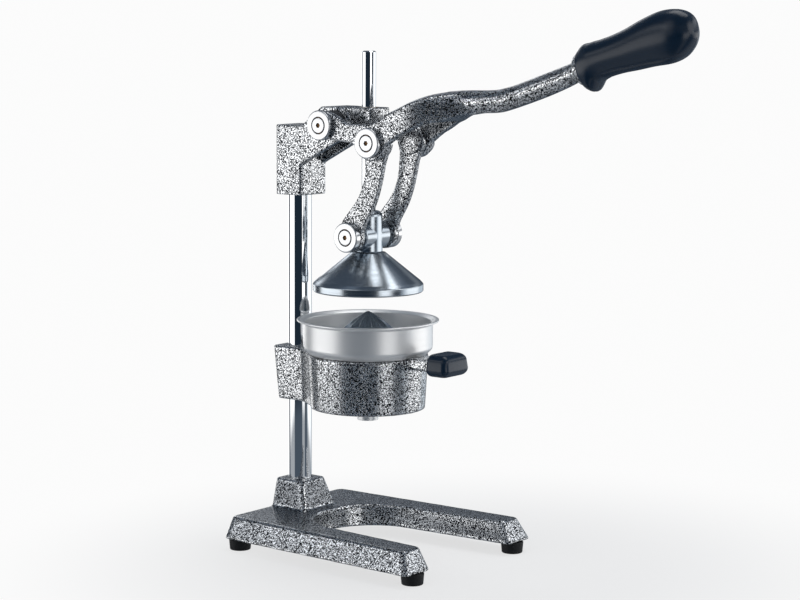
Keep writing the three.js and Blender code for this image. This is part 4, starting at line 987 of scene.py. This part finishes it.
# World: white to the camera; to everything else a pale studio with dark and bright upright panels round it
# Panels and windows go by the share of a full turn, and the sky by its height
shade, pale, bright = (0.008, 0.014, 0.022, 1), (0.42, 0.46, 0.5, 1), (1, 1, 1, 1)
floorShade, lowSky, glowSky = (0.05, 0.065, 0.085, 1), (0.035, 0.045, 0.06, 1), (0.8, 0.82, 0.85, 1)
highSky = (0.1, 0.12, 0.15, 1)
panels = [
    (0.0, shade), (0.165, shade), (0.18, bright), (0.23, bright), (0.26, shade), (0.3, shade), (0.33, pale),
    (0.36, bright), (0.45, bright), (0.48, pale), (0.54, pale), (0.57, shade), (0.61, shade), (0.63, bright),
    (0.7, bright), (0.72, shade), (0.775, shade), (0.8, bright), (0.945, bright), (0.96, shade)]
heights = [(0.2, lowSky), (0.29, glowSky), (0.41, glowSky), (0.5, lowSky), (0.7, highSky)]
windows = [
    (0.33, 0.12), (0.36, 1.0), (0.47, 1.0), (0.5, 0.12), (0.61, 0.12), (0.63, 1.0), (0.7, 1.0), (0.72, 0.12),
    (0.85, 0.12), (0.87, 1.0), (0.95, 1.0), (0.97, 0.12)]
world = bpy.data.worlds.new("studio")
bpy.context.scene.world = world
world.use_nodes = True
tree = world.node_tree
tree.nodes.clear()
direction = addNode(tree, "ShaderNodeTexCoord").outputs["Generated"]
way = addNode(tree, "ShaderNodeSeparateXYZ", {"Vector": direction}).outputs
around = addRange(tree, addMath(tree, "ARCTAN2", way["Y"], way["X"]), -math.pi, math.pi)
lift = addRange(tree, way["Z"], 0.05, 0.14)
below = addRange(tree, way["Z"], -0.262, -0.228, 0.2)
lower = addMix(tree, below, floorShade, addRamp(tree, around, panels))
upper = addMix(tree, addRamp(tree, around, windows), lowSky, addRamp(tree, way["Z"], heights))
room = addNode(tree, "ShaderNodeBackground", {
    "Color": addMix(tree, lift, lower, upper), "Strength": studio["strength"]})
plain = addNode(tree, "ShaderNodeBackground", {"Color": studio["backdrop"]})
cameraRay = addNode(tree, "ShaderNodeLightPath").outputs["Is Camera Ray"]
blend = addNode(tree, "ShaderNodeMixShader", {
    0: cameraRay, 1: room.outputs["Background"], 2: plain.outputs["Background"]})
addNode(tree, "ShaderNodeOutputWorld", {"Surface": blend.outputs["Shader"]})

# Lights in metres and watts, each aimed at a target
lights = {
    "key_light": {"place": (-1.5, 0.1, 1.1), "target": (0, 0.1, 0.2), "size": (0.9, 1.2), "power": 2},
    "fill_light": {"place": (0.4, -1.8, 0.9), "target": (0, 0, 0.2), "size": (1.2, 1.0), "power": 6},
    "top_light": {"place": (0.5, -0.1, 1.8), "target": (0, 0, 0.2), "size": (1.4, 0.8), "power": 8}}


def softLight(name, place, target, size, power):
    lamp = bpy.data.lights.new(name, "AREA")
    lamp.shape = "RECTANGLE"
    lamp.size, lamp.size_y = size
    lamp.energy = power
    light = addObject(name, lamp)
    light.location = place
    light.rotation_euler = (Vector(target) - Vector(place)).to_track_quat("-Z", "Y").to_euler()


for name, settings in lights.items():
    softLight(name, **settings)
print("studio done")

# Camera fitted to the photo
view = {"place": (-1458.4, 1256.1, 460.1), "yaw": 38.17, "pitch": 7.46, "roll": -0.29, "lens": 101.1}
camera = addObject("view_camera", bpy.data.cameras.new("view_camera"))
camera.data.lens = view["lens"]
camera.data.sensor_width = 36
camera.data.clip_end = 50
yaw, pitch, roll = (math.radians(view[key]) for key in ("yaw", "pitch", "roll"))
forwardWay = Vector((math.cos(yaw) * math.cos(pitch), math.sin(yaw) * math.cos(pitch), -math.sin(pitch)))
level = forwardWay.to_track_quat("-Z", "Y").to_matrix()
camera.location = toFrame(view["place"])
camera.rotation_mode = "QUATERNION"
camera.rotation_quaternion = (Matrix.Rotation(roll, 3, forwardWay) @ level).to_quaternion()
scene = bpy.context.scene
scene.camera = camera
scene.view_settings.view_transform = "Standard"
